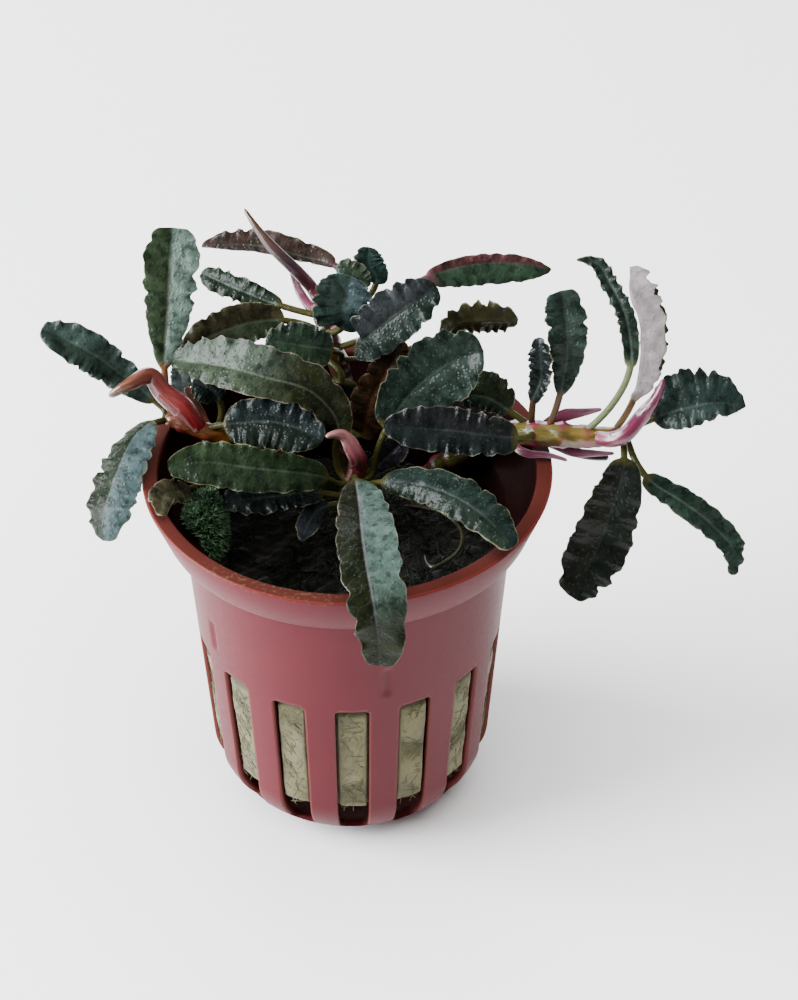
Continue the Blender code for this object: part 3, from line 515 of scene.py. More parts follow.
def pot_surface():
    """The pot's closed skin: rings of the profile turned about Z, with the slots cut through.

    Columns crowd to each slot's edge, whose half angle shrinks at its ends by a corner's round.
    """
    profile, first, second, count, lip = pot_rows()
    radius, height = profile[:, 0], profile[:, 1]
    near = np.minimum(np.abs(height - SLOT_BOTTOM), np.abs(SLOT_TOP - height))
    near = np.where((height > SLOT_BOTTOM) & (height < SLOT_TOP), near, 0)
    inset = SLOT_CORNER - np.sqrt(SLOT_CORNER**2 - np.clip(SLOT_CORNER - near, 0, SLOT_CORNER) ** 2)
    half = SLOT_HALF_ANGLE - np.degrees(inset / np.maximum(body_radius(height), 1))
    pitch = 360.0 / SLOT_COUNT
    inside = np.linspace(-1, 1, SLOT_COLUMNS)[None] * half[:, None]
    bars = np.linspace(0, 1, BAR_COLUMNS + 2)[None, 1:-1]
    outside = half[:, None] + bars * (pitch - 2 * half[:, None])
    one = np.concatenate([inside, outside], 1)
    starts = -90 + SLOT_TURN + pitch * np.arange(SLOT_COUNT)
    angles = np.radians((starts[None, :, None] + one[:, None]).reshape(len(profile), -1))
    sunk = pot_marks(angles, height, radius)
    reach = radius[:, None] - sunk
    rings = np.stack([reach * np.cos(angles), reach * np.sin(angles),
                      np.repeat(height[:, None], angles.shape[1], 1)], -1)
    points, faces = closed_skin(rings)
    columns = angles.shape[1]
    each = SLOT_COLUMNS + BAR_COLUMNS
    quads = ring_faces(len(profile), columns)
    keep = np.ones(quads.shape[:2], bool)
    open_columns = (np.arange(columns) % each) < SLOT_COLUMNS - 1
    keep[first:first + count - 1] &= ~open_columns
    keep[second:second + count - 1] &= ~open_columns
    fans = faces[quads.shape[0] * columns:]
    index = np.arange(len(profile) * columns).reshape(-1, columns)
    outer = index[first:first + count]
    inner = index[second:second + count][::-1]
    left = np.arange(SLOT_COUNT) * each
    right = left + SLOT_COLUMNS - 1
    ledge = np.nonzero(open_columns)[0]
    walls = [
        np.stack([outer[:-1, left], inner[:-1, left], inner[1:, left], outer[1:, left]], -1),
        np.stack([outer[:-1, right], outer[1:, right], inner[1:, right], inner[:-1, right]], -1),
        np.stack([outer[0, ledge], outer[0, ledge + 1], inner[0, ledge + 1], inner[0, ledge]], -1),
        np.stack([outer[-1, ledge], inner[-1, ledge], inner[-1, ledge + 1], outer[-1, ledge + 1]], -1),
    ]
    kept = np.concatenate([quads[keep]] + [wall.reshape(-1, 4) for wall in walls])
    inside = np.zeros(len(profile))
    inside[lip - 1:] = 1
    # painted highlight: a thin light line along each slot's edges and round the rim's outer edge
    painted_highlight = np.zeros(angles.shape)
    rim_of_slot = np.concatenate([left, right])
    painted_highlight[np.ix_(np.arange(first, first + count), rim_of_slot)] = 1
    painted_highlight[lip - 4:lip - 1] = 0.8
    values = {"inside": with_ends(np.repeat(inside[:, None], columns, 1)), "painted_highlight": with_ends(painted_highlight)}
    return points, kept.tolist() + fans, values


def pot_marks(angles, height, radius):
    """Depth of the shallow upright marks in the outer wall, in mm, at each ring point."""
    outer = (np.abs(radius - body_radius(height)) < 0.01) & (height > SLOT_TOP)
    depth = np.zeros_like(angles)
    tall = 1 - smooth_step(np.abs(height - MARK_MIDDLE), MARK_HALF_HEIGHT - 0.4, MARK_HALF_HEIGHT + 0.2)
    for index in range(MARK_COUNT):
        middle = radians(-90 + MARK_TURN + index * 360 / MARK_COUNT)
        away = np.abs((angles - middle + pi) % (2 * pi) - pi) * radius[:, None]
        wide = 1 - smooth_step(away, MARK_HALF_WIDTH - 0.25, MARK_HALF_WIDTH + 0.2)
        depth += MARK_DEPTH * wide * (tall * outer)[:, None]
    return depth


def pot_material(settings):
    """Polypropylene, injection moulded: satin, slightly mottled, dry soil specks on the rim; painted shade
    inside and on the rim's top; painted highlight lines on slot and rim edges.
    """
    material, tree, shader = new_material("moulded polypropylene", IOR=1.49)
    place = add(tree, "ShaderNodeTexCoord", out=3)
    cloud = add(tree, "ShaderNodeTexNoise", {"Vector": place, "Scale": per_size(9), "Detail": 4.0})
    tone = add(tree, "ShaderNodeMapRange", {0: cloud, 1: 0.3, 2: 0.7, 3: 0.93, 4: 1.06})
    inside, painted_highlight = (add(tree, "ShaderNodeAttribute", out=2, attribute_name=name)
                   for name in ("inside", "painted_highlight"))
    axes = [add(tree, "ShaderNodeSeparateXYZ", {0: place}, k) for k in range(3)]
    # painted shade: below the rim's brick red top, the inner wall darkens with depth for the shade inside the
    # pot
    top = add(tree, "ShaderNodeMapRange", {0: axes[2], 1: 49.3 * MM, 2: 49.8 * MM})
    low = add(tree, "ShaderNodeMapRange", {0: axes[2], 1: 9 * MM, 2: 14 * MM})
    wall = add(tree, "ShaderNodeMix", {0: low, 6: linear("#6e2a26"), 7: linear("#280e0c")}, 2,
               data_type="RGBA")
    # painted shade: the rim's top gets a browner, darker tone than the outside for the weaker reflection it
    # shows
    wall = add(tree, "ShaderNodeMix", {0: top, 6: wall, 7: tuple(settings.rim) + (1.0,)}, 2,
               data_type="RGBA")
    colour = add(tree, "ShaderNodeMix", {0: inside, 6: tuple(settings.colour) + (1.0,), 7: wall}, 2,
                 data_type="RGBA")
    # painted highlight along the slot edges and the rim's outer edge
    painted_highlight = add(tree, "ShaderNodeMath", {0: painted_highlight, 1: 0.35}, operation="MULTIPLY")
    colour = add(tree, "ShaderNodeMix", {0: painted_highlight, 6: colour, 7: linear("#b8603c")}, 2, data_type="RGBA")
    colour = add(tree, "ShaderNodeMix", {0: 1.0, 6: colour, 7: tone}, 2, data_type="RGBA",
                 blend_type="MULTIPLY")
    # dirt lies only on the rim's top, front and left
    front = add(tree, "ShaderNodeMapRange", {0: axes[1], 1: -20.5 * MM, 2: -16 * MM, 3: 1.0, 4: 0.0})
    left = add(tree, "ShaderNodeMapRange", {0: axes[0], 1: -3 * MM, 2: 1 * MM, 3: 1.0, 4: 0.0})
    grit = add(tree, "ShaderNodeTexNoise", {"Vector": place, "Scale": per_size(0.5), "Detail": 6.0})
    grit = add(tree, "ShaderNodeMapRange", {0: grit, 1: 0.54, 2: 0.66, 4: 0.8})
    for mask in (top, front, left):
        grit = add(tree, "ShaderNodeMath", {0: grit, 1: mask}, operation="MULTIPLY")
    colour = add(tree, "ShaderNodeMix", {0: grit, 6: colour, 7: linear("#8a7456")}, 2, data_type="RGBA")
    tree.links.new(colour, shader.inputs["Base Color"])
    grain = add(tree, "ShaderNodeTexNoise", {"Vector": place, "Scale": per_size(0.6), "Detail": 3.0})
    rough = add(tree, "ShaderNodeMapRange", {0: grain, 3: 0.34, 4: 0.5})
    rough = add(tree, "ShaderNodeMath", {0: inside, 1: 0.2, 2: rough}, operation="MULTIPLY_ADD")
    tree.links.new(rough, shader.inputs["Roughness"])
    shine = add(tree, "ShaderNodeMapRange", {0: inside, 3: 0.14, 4: 0.06})
    tree.links.new(shine, shader.inputs["Specular IOR Level"])
    bump = add(tree, "ShaderNodeBump", {"Height": grain, "Strength": 0.12, "Distance": 0.05 * MM})
    tree.links.new(bump, shader.inputs["Normal"])
    return material


def wool_material(settings):
    """Mineral rock wool, spun and pressed: matte fibres, dark at the top, partly wet wool with algae and
    partly painted shade from the pot's depth.
    """
    material, tree, shader = new_material("spun rock wool", Roughness=0.9, Sheen_Weight=0.15)
    place = add(tree, "ShaderNodeTexCoord", out=3)
    patch = add(tree, "ShaderNodeTexNoise", {"Vector": place, "Scale": per_size(4), "Detail": 5.0})
    patch = add(tree, "ShaderNodeMapRange", {0: patch, 1: 0.34, 2: 0.62})
    colour = add(tree, "ShaderNodeMix", {0: patch, 6: linear("#7c784e"), 7: tuple(settings.colour) + (1.0,)},
                 2, data_type="RGBA")
    # fibres run mostly upright
    upright = add(tree, "ShaderNodeVectorMath", {0: place, 1: (1.0, 1.0, 0.3)}, operation="MULTIPLY")
    fibre = add(tree, "ShaderNodeTexNoise", {"Vector": upright, "Scale": per_size(0.35), "Detail": 6.0,
                                            "Distortion": 1.2})
    light = add(tree, "ShaderNodeMapRange", {0: fibre, 1: 0.3, 2: 0.72, 3: 0.8, 4: 1.15})
    colour = add(tree, "ShaderNodeMix", {0: 1.0, 6: colour, 7: light}, 2, data_type="RGBA",
                 blend_type="MULTIPLY")
    height = add(tree, "ShaderNodeSeparateXYZ", {0: place}, 2)
    # painted shade: the top turns near black, partly wet wool with algae and partly the shade deep in the pot
    wet = add(tree, "ShaderNodeMapRange", {0: height, 1: 32.5 * MM, 2: 35 * MM})
    wet_top_and_shade = add(tree, "ShaderNodeMix", {0: patch, 6: linear("#0c0a07"), 7: linear("#1c1c10")}, 2,
               data_type="RGBA")
    colour = add(tree, "ShaderNodeMix", {0: wet, 6: colour, 7: wet_top_and_shade}, 2, data_type="RGBA")
    tree.links.new(colour, shader.inputs["Base Color"])
    bump = add(tree, "ShaderNodeBump", {"Height": fibre, "Strength": 0.4, "Distance": 0.15 * MM})
    tree.links.new(bump, shader.inputs["Normal"])
    return material


def thread_material(name, dark, pale, size, roughness):
    """A matte thread or frond whose colour wanders between two tones."""
    material, tree, shader = new_material(name, Roughness=roughness)
    place = add(tree, "ShaderNodeTexCoord", out=3)
    noise = add(tree, "ShaderNodeTexNoise", {"Vector": place, "Scale": per_size(size), "Detail": 3.0})
    noise = add(tree, "ShaderNodeMapRange", {0: noise, 1: 0.35, 2: 0.65})
    colour = add(tree, "ShaderNodeMix", {0: noise, 6: linear(dark), 7: linear(pale)}, 2, data_type="RGBA")
    tree.links.new(colour, shader.inputs["Base Color"])
    return material


def stem_material(stem):
    """Living stem skin, grown: smooth and moist, its colour running from base to tip."""
    material, tree, shader = new_material(f"stem skin {stem.name}", Roughness=0.34, Coat_Weight=0.45,
                                          Coat_Roughness=0.12, Subsurface_Weight=0.12,
                                          Subsurface_Scale=0.6 * MM)
    # the skin's own coordinates are shortened lengthwise, which draws its mottling out to streaks
    skin = [add(tree, "ShaderNodeAttribute", out=2, attribute_name=f"skin_{axis}") for axis in "xyz"]
    skin = add(tree, "ShaderNodeCombineXYZ", dict(enumerate(skin)))
    along = add(tree, "ShaderNodeAttribute", out=2, attribute_name="along")
    low = add(tree, "ShaderNodeMapRange", {0: along, 1: 0.05, 2: 0.5})
    high = add(tree, "ShaderNodeMapRange", {0: along, 1: 0.5, 2: 0.95})
    base, middle, tip = (linear(code) for code in stem.colours)
    colour = add(tree, "ShaderNodeMix", {0: low, 6: base, 7: middle}, 2, data_type="RGBA")
    colour = add(tree, "ShaderNodeMix", {0: high, 6: colour, 7: tip}, 2, data_type="RGBA")
    streak = add(tree, "ShaderNodeTexNoise", {"Vector": skin, "Scale": per_size(0.7), "Detail": 5.0})
    if stem.edge:
        # flanks and scales round the leaf scars are redder and the edges of bracts paler; along a rolled new
        # leaf's seam the pale edge colour is a painted highlight
        flank_and_seam_highlight = add(tree, "ShaderNodeAttribute", out=2, attribute_name="flank_and_seam_highlight")
        flank_and_seam_highlight = add(tree, "ShaderNodeMath", {0: streak, 1: 0.9, 2: flank_and_seam_highlight}, operation="MULTIPLY_ADD")
        flank_and_seam_highlight = add(tree, "ShaderNodeMapRange", {0: flank_and_seam_highlight, 1: 0.75, 2: 1.25})
        colour = add(tree, "ShaderNodeMix", {0: flank_and_seam_highlight, 6: colour, 7: linear(stem.edge)}, 2,
                     data_type="RGBA")
    tone = add(tree, "ShaderNodeMapRange", {0: streak, 1: 0.34, 2: 0.66, 3: 0.5, 4: 1.45})
    colour = add(tree, "ShaderNodeMix", {0: 1.0, 6: colour, 7: tone}, 2, data_type="RGBA",
                 blend_type="MULTIPLY")
    tree.links.new(colour, shader.inputs["Base Color"])
    bump = add(tree, "ShaderNodeBump", {"Height": streak, "Strength": 0.7, "Distance": 0.25 * MM})
    tree.links.new(bump, shader.inputs["Normal"])
    tree.links.new(bump, shader.inputs["Coat Normal"])
    return material


def leaf_material(leaf, settings):
    """Living leaf, grown: waxy and wet, with veins, pale dots, a midrib line partly painted as a reflection,
    a thin pale margin and on some leaves a painted sheen on one half.
    """
    material, tree, shader = new_material(f"waxy leaf {leaf.name}", IOR=1.42,
                                          Specular_IOR_Level=0.18 * leaf.gloss,
                                          Coat_Weight=settings.wetness * leaf.gloss,
                                          Coat_Roughness=0.12, Coat_IOR=1.33)
    place = add(tree, "ShaderNodeTexCoord", out=3)
    across, along, margin, under, share = (
        add(tree, "ShaderNodeAttribute", out=2, attribute_name=name)
        for name in ("across_mm", "along_mm", "margin_mm", "underside", "share"))
    blade = add(tree, "ShaderNodeMapRange", {0: share, 1: 0.0, 2: 0.06})
    # painted sheen: on leaves whose halves differ much in lightness, the paler half stands for the reflection
    # it shows
    half = add(tree, "ShaderNodeMapRange", {0: across, 1: -0.25, 2: 0.25}, interpolation_type="SMOOTHSTEP")
    colour = add(tree, "ShaderNodeMix", {0: half, 6: linear(leaf.first), 7: linear(leaf.second)}, 2,
                 data_type="RGBA")
    for tint, low, high in ((leaf.base_tint, 0.6, 0.3), (leaf.tip_tint, 0.62, 0.9)):
        if tint:
            end = add(tree, "ShaderNodeMapRange", {0: share, 1: low, 2: high},
                      interpolation_type="SMOOTHSTEP")
            colour = add(tree, "ShaderNodeMix", {0: end, 6: colour, 7: linear(tint)}, 2,
                         data_type="RGBA")
    # dark blots about 0.5 mm across, which break the painted sheen and the pale tones into spots
    blot = add(tree, "ShaderNodeTexNoise", {"Vector": place, "Scale": per_size(1.0), "Detail": 4.0})
    blot = add(tree, "ShaderNodeMapRange", {0: blot, 1: 0.52, 2: 0.62, 4: 0.6})
    colour = add(tree, "ShaderNodeMix", {0: blot, 6: colour, 7: linear(leaf.dark)}, 2,
                 data_type="RGBA")
    # mottling, about 1.6 mm
    cloud = add(tree, "ShaderNodeTexNoise", {"Vector": place, "Scale": per_size(1.6), "Detail": 6.0})
    tone = add(tree, "ShaderNodeMapRange", {0: cloud, 1: 0.32, 2: 0.68, 3: 0.6, 4: 1.35})
    colour = add(tree, "ShaderNodeMix", {0: 1.0, 6: colour, 7: tone}, 2, data_type="RGBA",
                 blend_type="MULTIPLY")
    # faint side veins leave the midrib forwards, one about every 1.9 mm
    away = add(tree, "ShaderNodeMath", {0: across}, operation="ABSOLUTE")
    slant = add(tree, "ShaderNodeMath", {0: away, 1: -0.8, 2: along}, operation="MULTIPLY_ADD")
    slant = add(tree, "ShaderNodeMath", {0: cloud, 1: 2.0, 2: slant}, operation="MULTIPLY_ADD")
    vein = add(tree, "ShaderNodeMath", {0: slant, 1: 0.95}, operation="PINGPONG")
    vein = add(tree, "ShaderNodeMapRange", {0: vein, 1: 0.02, 2: 0.12, 3: leaf.veins, 4: 0.0})
    vein = add(tree, "ShaderNodeMath", {0: vein, 1: blade}, operation="MULTIPLY")
    colour = add(tree, "ShaderNodeMix", {0: vein, 6: colour, 7: linear(leaf.midrib)}, 2,
                 data_type="RGBA")
    # round pale dots about 0.25 mm across, one about every 0.5 mm, crowded in patches
    cell = add(tree, "ShaderNodeTexVoronoi", {"Vector": place, "Scale": per_size(0.5)})
    dot = add(tree, "ShaderNodeMapRange", {0: cell, 1: 0.14, 2: 0.34, 3: 1.0, 4: 0.0})
    patch = add(tree, "ShaderNodeTexNoise", {"Vector": place, "Scale": per_size(4), "Detail": 3.0})
    patch = add(tree, "ShaderNodeMapRange", {0: patch, 1: 0.4, 2: 0.6, 3: 0.1 * leaf.specks,
                                             4: 0.6 * leaf.specks})
    dot = add(tree, "ShaderNodeMath", {0: dot, 1: patch}, operation="MULTIPLY")
    dot = add(tree, "ShaderNodeMath", {0: dot, 1: blade}, operation="MULTIPLY")
    # the midrib's line, partly a painted reflection along its groove, fades towards the tip
    rib = add(tree, "ShaderNodeMapRange", {0: away, 1: 0.06, 2: 0.22, 3: 1.6 * leaf.rib, 4: 0.0})
    fade = add(tree, "ShaderNodeMapRange", {0: share, 1: 0.6, 2: 0.9, 3: 1.0, 4: 0.1})
    for mask in (cloud, fade):
        rib = add(tree, "ShaderNodeMath", {0: rib, 1: mask}, operation="MULTIPLY")
    colour = add(tree, "ShaderNodeMix", {0: rib, 6: colour, 7: linear(leaf.midrib)}, 2, data_type="RGBA")
    # underside: its own colour, less marked
    back = add(tree, "ShaderNodeMix", {0: 1.0, 6: linear(leaf.under), 7: tone}, 2, data_type="RGBA",
               blend_type="MULTIPLY")
    colour = add(tree, "ShaderNodeMix", {0: under, 6: colour, 7: back}, 2, data_type="RGBA")
    colour = add(tree, "ShaderNodeMix", {0: dot, 6: colour, 7: linear(leaf.grain)}, 2, data_type="RGBA")
    broken = add(tree, "ShaderNodeMapRange", {0: cloud, 1: 0.4, 2: 0.6, 3: 0.1, 4: 0.75})
    edge = add(tree, "ShaderNodeMapRange", {0: margin, 1: 0.05, 2: 0.17, 3: 1.0, 4: 0.0})
    for mask in (blade, broken):
        edge = add(tree, "ShaderNodeMath", {0: edge, 1: mask}, operation="MULTIPLY")
    colour = add(tree, "ShaderNodeMix", {0: edge, 6: colour, 7: linear(leaf.margin)}, 2,
                 data_type="RGBA")
    colour = add(tree, "ShaderNodeMix", {0: blade, 6: linear(leaf.petiole), 7: colour}, 2,
                 data_type="RGBA")
    tree.links.new(colour, shader.inputs["Base Color"])
    rough = add(tree, "ShaderNodeMapRange", {0: cloud, 1: 0.3, 2: 0.7, 3: 0.34, 4: 0.5})
    tree.links.new(rough, shader.inputs["Roughness"])
    # each dot stands up a little, and the skin between is finely uneven
    relief = add(tree, "ShaderNodeMapRange", {0: cell, 1: 0.0, 2: 0.5, 3: 1.0, 4: 0.0},
                 interpolation_type="SMOOTHSTEP")
    relief = add(tree, "ShaderNodeMath", {0: cloud, 1: 2.5, 2: relief}, operation="MULTIPLY_ADD")
    bump = add(tree, "ShaderNodeBump", {"Height": relief, "Strength": 0.8, "Distance": 0.07 * MM})
    tree.links.new(bump, shader.inputs["Normal"])
    tree.links.new(bump, shader.inputs["Coat Normal"])
    return material


def rhizome_samples():
    """Centre points and radii along every rhizome, which leaf stalks grow out of."""
    places, radii = [], []
    along = np.linspace(0, 1, RHIZOME_SAMPLES)
    for stem in STEMS:
        if stem.name.endswith("rhizome"):
            places.append(smooth_line(stem.line, RHIZOME_SAMPLES))
            radii.append(np.interp(along, np.linspace(0, 1, len(stem.radii)), stem.radii))
    return np.concatenate(places), np.concatenate(radii)


def blade_start(leaf, line, rhizomes):
    """Share of the whole line at which the blade starts: its stalk counts from clear of the stem."""
    places, radii = rhizomes
    room = np.linalg.norm(line[:, None] - places[None], axis=2) - radii[None]
    touching = np.nonzero(room.min(axis=1) < STALK_RADIUS + STEM_GAP)[0]
    free = (touching.max() + 1) / (len(line) - 1) if len(touching) else 0.0
    return free + leaf.stalk * (1 - free)


def rooted(line, s, rhizomes):
    """The line and its shares with more points ahead, which bend in from the nearest stem's axis."""
    away = np.linalg.norm(rhizomes[0] - line[0], axis=1)
    root = rhizomes[0][away.argmin()]
    ahead = (line[1] - line[0]) / np.linalg.norm(line[1] - line[0])
    bend = line[0] - 0.5 * away.min() * ahead
    t = np.linspace(0, 1, ROOT_ROWS + 1)[:-1, None]
    lead = (1 - t) ** 2 * root + 2 * t * (1 - t) * bend + t**2 * line[0]
    return np.concatenate([lead, line]), np.r_[np.zeros(ROOT_ROWS), s]


def margin_turns(v, waves, rng):
    """Phase of a margin's waves from stalk to tip, whose lengths wander a little."""
    wander = 1.4 * np.sin(2 * pi * rng.uniform(0.8, 1.3) * v + rng.uniform(0, 6))
    wander = wander + 0.9 * np.sin(2 * pi * rng.uniform(1.8, 2.6) * v + rng.uniform(0, 6))
    return 2 * pi * waves * v + wander + rng.uniform(0, 2 * pi)


def leaf_surface(leaf, seed, rhizomes, settings):
    """Rings round the leaf at each row, with its attributes.

    Half-width is v^base * (1 - v)^tip on each side, v running from stalk to tip. The blade folds
    up from the midrib by a fixed angle. Its margin rises and falls as a sine of the phase and is
    drawn in to rounded lobes, |sin(phase / 2)|, with smaller ones between. Between the side veins
    it swells as sin squared. Upper and under side lie half a thickness from that sheet.
    """
    rng = np.random.default_rng(seed)
    line = smooth_line(leaf.line, LEAF_ROWS)
    length = np.linalg.norm(np.diff(line, axis=0), axis=1).sum()
    start = blade_start(leaf, line, rhizomes)
    line, s = rooted(line, np.linspace(0, 1, LEAF_ROWS), rhizomes)
    tip_face = leaf.tip_face or leaf.face
    face = np.outer(1 - s, leaf.face) + np.outer(s, tip_face)
    _, up, side = frames(line, face)
    v = np.clip((s - start) / (1 - start), 0, 1)
    peak = leaf.base / (leaf.base + leaf.tip)
    top = peak**leaf.base * (1 - peak) ** leaf.tip
    spread = v**leaf.base * (1 - v) ** leaf.tip / top

    u = np.sin(np.linspace(-pi / 2, pi / 2, LEAF_COLUMNS))
    u = np.r_[u, u[-2:0:-1]][None]
    is_top = np.r_[np.ones(LEAF_COLUMNS), -np.ones(LEAF_COLUMNS - 2)][None]
    is_top[0, [0, LEAF_COLUMNS - 1]] = 0
    v = v[:, None]
    away = np.abs(u)
    half = np.where(u < 0, leaf.halves[0], leaf.halves[1])
    turns = [margin_turns(v, leaf.waves, rng) for _ in range(2)]
    turn = np.where(u < 0, turns[0], turns[1])
    liveliness = [0.85 + 0.4 * np.sin(2 * pi * rng.uniform(0.7, 1.4) * v + rng.uniform(0, 6))
                  for _ in range(2)]
    lively = smooth_step(v, 0.03, 0.22) * (1 - smooth_step(v, 0.93, 1.0))
    lively = lively * np.where(u < 0, *liveliness)
    ruffle = np.sin(turn) + 0.35 * np.sin(2.3 * turn + rng.uniform(0, 6))
    lobe, small = (np.sqrt((np.sin(part * turn) ** 2 + LOBE_ROUND) / (1 + LOBE_ROUND))
                   for part in (0.5, 1.3))
    uneven = 1 + 0.6 * np.sin(2 * pi * rng.uniform(1.6, 2.8) * v + rng.uniform(0, 6) + (u < 0))
    drawn_in = uneven * (1 - lobe) + 0.3 * (1 - small)
    scallop = 1 - leaf.scallop * settings.scallop * lively * away**1.5 * drawn_in
    stalk = STALK_RADIUS * (1 - smooth_step(v, 0.75, 1.0))
    width = (stalk + (half - STALK_RADIUS) * spread[:, None]) * scallop
    x = u * width
    flat = smooth_step(v, 0.0, 0.14)
    along_mm = s[:, None] * length + 0 * u
    place = np.stack([x, along_mm, 0 * x + seed], -1)
    swell = np.sin(pi * (along_mm - 0.8 * np.abs(x) + 0.5 * lumps(place, 5, seed + 1)) / 1.9) ** 2
    sheet = (leaf.wave * settings.wave * away**2.2 * ruffle * lively
             + flat * (1 - away**4) * (0.035 * swell * smooth_step(np.abs(x), 0.2, 1.2)
                                       + 0.2 * lumps(place, 7, seed + 3)
                                       + 0.045 * lumps(place, 2.6, seed)
                                       + 0.015 * lumps(place, 1.1, seed + 2)))
    bend = radians(leaf.fold)
    thin = (0.15 * (1 - away**4) + 0.05) * np.clip((1 - v) * 25, 0, 1) ** 0.5
    groove = np.exp(-((x / 0.24) ** 2))
    thin = thin + np.where(is_top > 0, -0.1, 0.2) * groove * flat * (1 - smooth_step(v, 0.8, 0.98))
    round_half = STALK_RADIUS * np.sqrt(np.clip(1 - u * u, 0, 1))
    depth = round_half * (1 - flat) + thin * flat
    rise = away * width * sin(bend) * flat + sheet + is_top * depth
    rings = (line[:, None] + side[:, None] * (x * (1 + (cos(bend) - 1) * flat))[..., None]
             + up[:, None] * rise[..., None])
    values = {
        "across_mm": x,
        "along_mm": along_mm,
        "margin_mm": width - np.abs(x),
        "underside": np.clip(-is_top, 0, 1) + 0 * x,
        "share": v + 0 * x,
    }
    return rings, values


def stem_surface(stem, seed, rhizomes):
    """Rings round a stem: radius from its table, swollen at leaf scars, rolled or flattened.

    A rolled new leaf's radius grows round its section and steps back at the seam. A bract is
    flattened to a third. Both leave the nearest rhizome at a slant, so their lines start on its
    axis a few millimetres back. A rhizome swells a little about every 3 mm.
    """
    knots = stem.line
    if stem.form != "stem":
        near = np.linalg.norm(rhizomes[0] - np.array(knots[0]), axis=1).argmin()
        root = max(near - SHEATH_LEAD, near // RHIZOME_SAMPLES * RHIZOME_SAMPLES)
        knots = (tuple(rhizomes[0][root]), *knots)
    line = smooth_line(knots, STEM_ROWS)
    s = np.linspace(0, 1, STEM_ROWS)
    length = np.linalg.norm(np.diff(line, axis=0), axis=1).sum()
    radii = smooth_radii(stem.radii, s)
    _, up, side = frames(line, np.tile(TOWARDS_VIEWER, (STEM_ROWS, 1)))
    angle = np.linspace(0, 2 * pi, STEM_COLUMNS, endpoint=False)
    reach = np.repeat(radii[:, None], STEM_COLUMNS, 1)
    flat = 1.0
    scaly = np.abs(np.sin(pi * s * length / 3.1))[:, None] ** 8
    flank_and_seam_highlight = np.clip(1 - np.sin(angle)[None], 0, 1) + 0.5 * scaly
    if stem.form == "rolled":
        twist = (angle[None] - 1.2 + 1.2 * s[:, None]) % (2 * pi)
        reach = reach * (0.84 + 0.26 * twist / (2 * pi))
        # painted highlight: a thin pale line along the rolled leaf's seam
        flank_and_seam_highlight = np.exp(-(((2 * pi - twist) / 0.5) ** 2)) * np.ones_like(s)[:, None]
    elif stem.form == "bract":
        flat = 0.3
        flank_and_seam_highlight = np.abs(np.cos(angle))[None] ** 6 * np.ones_like(s)[:, None]
    elif stem.name.endswith("rhizome"):
        scars = np.abs(np.sin(pi * s * length / 3.1))[:, None] ** 6
        reach = reach * (0.94 + 0.1 * scars)
        place = np.stack([line[:, 0, None] + np.cos(angle), line[:, 1, None] + np.sin(angle),
                          np.repeat(line[:, 2, None], STEM_COLUMNS, 1)], -1)
        reach = reach * (1 + 0.05 * lumps(place, 1.6, seed))
    rings = (line[:, None] - side[:, None] * (reach * np.cos(angle))[..., None]
             + up[:, None] * (flat * reach * np.sin(angle))[..., None])
    along = np.repeat(s[:, None], STEM_COLUMNS, 1)
    return rings, {
        "along": along,
        "flank_and_seam_highlight": flank_and_seam_highlight,
        "skin_x": reach * np.cos(angle) * MM,
        "skin_y": reach * np.sin(angle) * MM,
        "skin_z": along * length * STREAK_STRETCH * MM,
    }


def smooth_radii(radii, s):
    """Radii eased between the table's, closing to a small round at both ends."""
    knots = np.linspace(0, 1, len(radii))
    eased = np.interp(s, knots, radii)
    kernel = np.hanning(13) / np.hanning(13).sum()
    eased = np.convolve(np.pad(eased, 6, mode="edge"), kernel, mode="valid")
    end = np.sqrt(np.clip(np.minimum(s, 1 - s) / 0.03, 0, 1))
    return eased * (0.25 + 0.75 * end)


def wool_surface():
    """The plug's rings from its bottom middle to its top middle, lumpy and pushed into the slots."""
    low = float(inner_radius(WOOL_BOTTOM + 2)) - WOOL_GAP
    heights = np.linspace(WOOL_BOTTOM + 1.4, WOOL_TOP - 0.6, 110)
    profile = [(low * part, WOOL_BOTTOM) for part in (0.02, 0.3, 0.6, 0.85)]
    profile += [(float(inner_radius(z)) - WOOL_GAP, z) for z in heights]
    top = float(inner_radius(WOOL_TOP)) - WOOL_GAP
    profile += [(top * part, WOOL_TOP) for part in np.linspace(0.975, 0.02, 44)]
    radius, height = np.array(profile).T
    angle = np.linspace(0, 2 * pi, WOOL_COLUMNS, endpoint=False)
    pitch = 2 * pi / SLOT_COUNT
    off = np.abs((angle - radians(-90 + SLOT_TURN) + pitch / 2) % pitch - pitch / 2)
    in_slot = 1 - smooth_step(off, radians(SLOT_HALF_ANGLE) * 0.82, radians(SLOT_HALF_ANGLE) * 0.98)
    tall = smooth_step(height, SLOT_BOTTOM + 4, SLOT_BOTTOM + 6) * (1 - smooth_step(height, 25.4, 26.9))
    ring = np.stack([radius[:, None] * np.cos(angle), radius[:, None] * np.sin(angle),
                     height[:, None] + 0 * angle], -1)
    rough = lumps(ring, 5, 3) * 0.5 + lumps(ring, 1.6, 4) * 0.35
    side = ((radius > 10) & (height > WOOL_BOTTOM + 1) & (height < WOOL_TOP - 0.3))[:, None]
    reach = radius[:, None] + side * (in_slot * tall[:, None] * (1.15 + 0.12 * lumps(ring, 6, 3)) - 0.12
                                      + 0.02 * lumps(ring, 1.2, 6))
    lift = (height > WOOL_TOP - 0.3)[:, None] * (0.35 + 0.5 * rough) * (radius < top * 0.99)[:, None]
    return np.stack([reach * np.cos(angle), reach * np.sin(angle), height[:, None] + lift], -1)


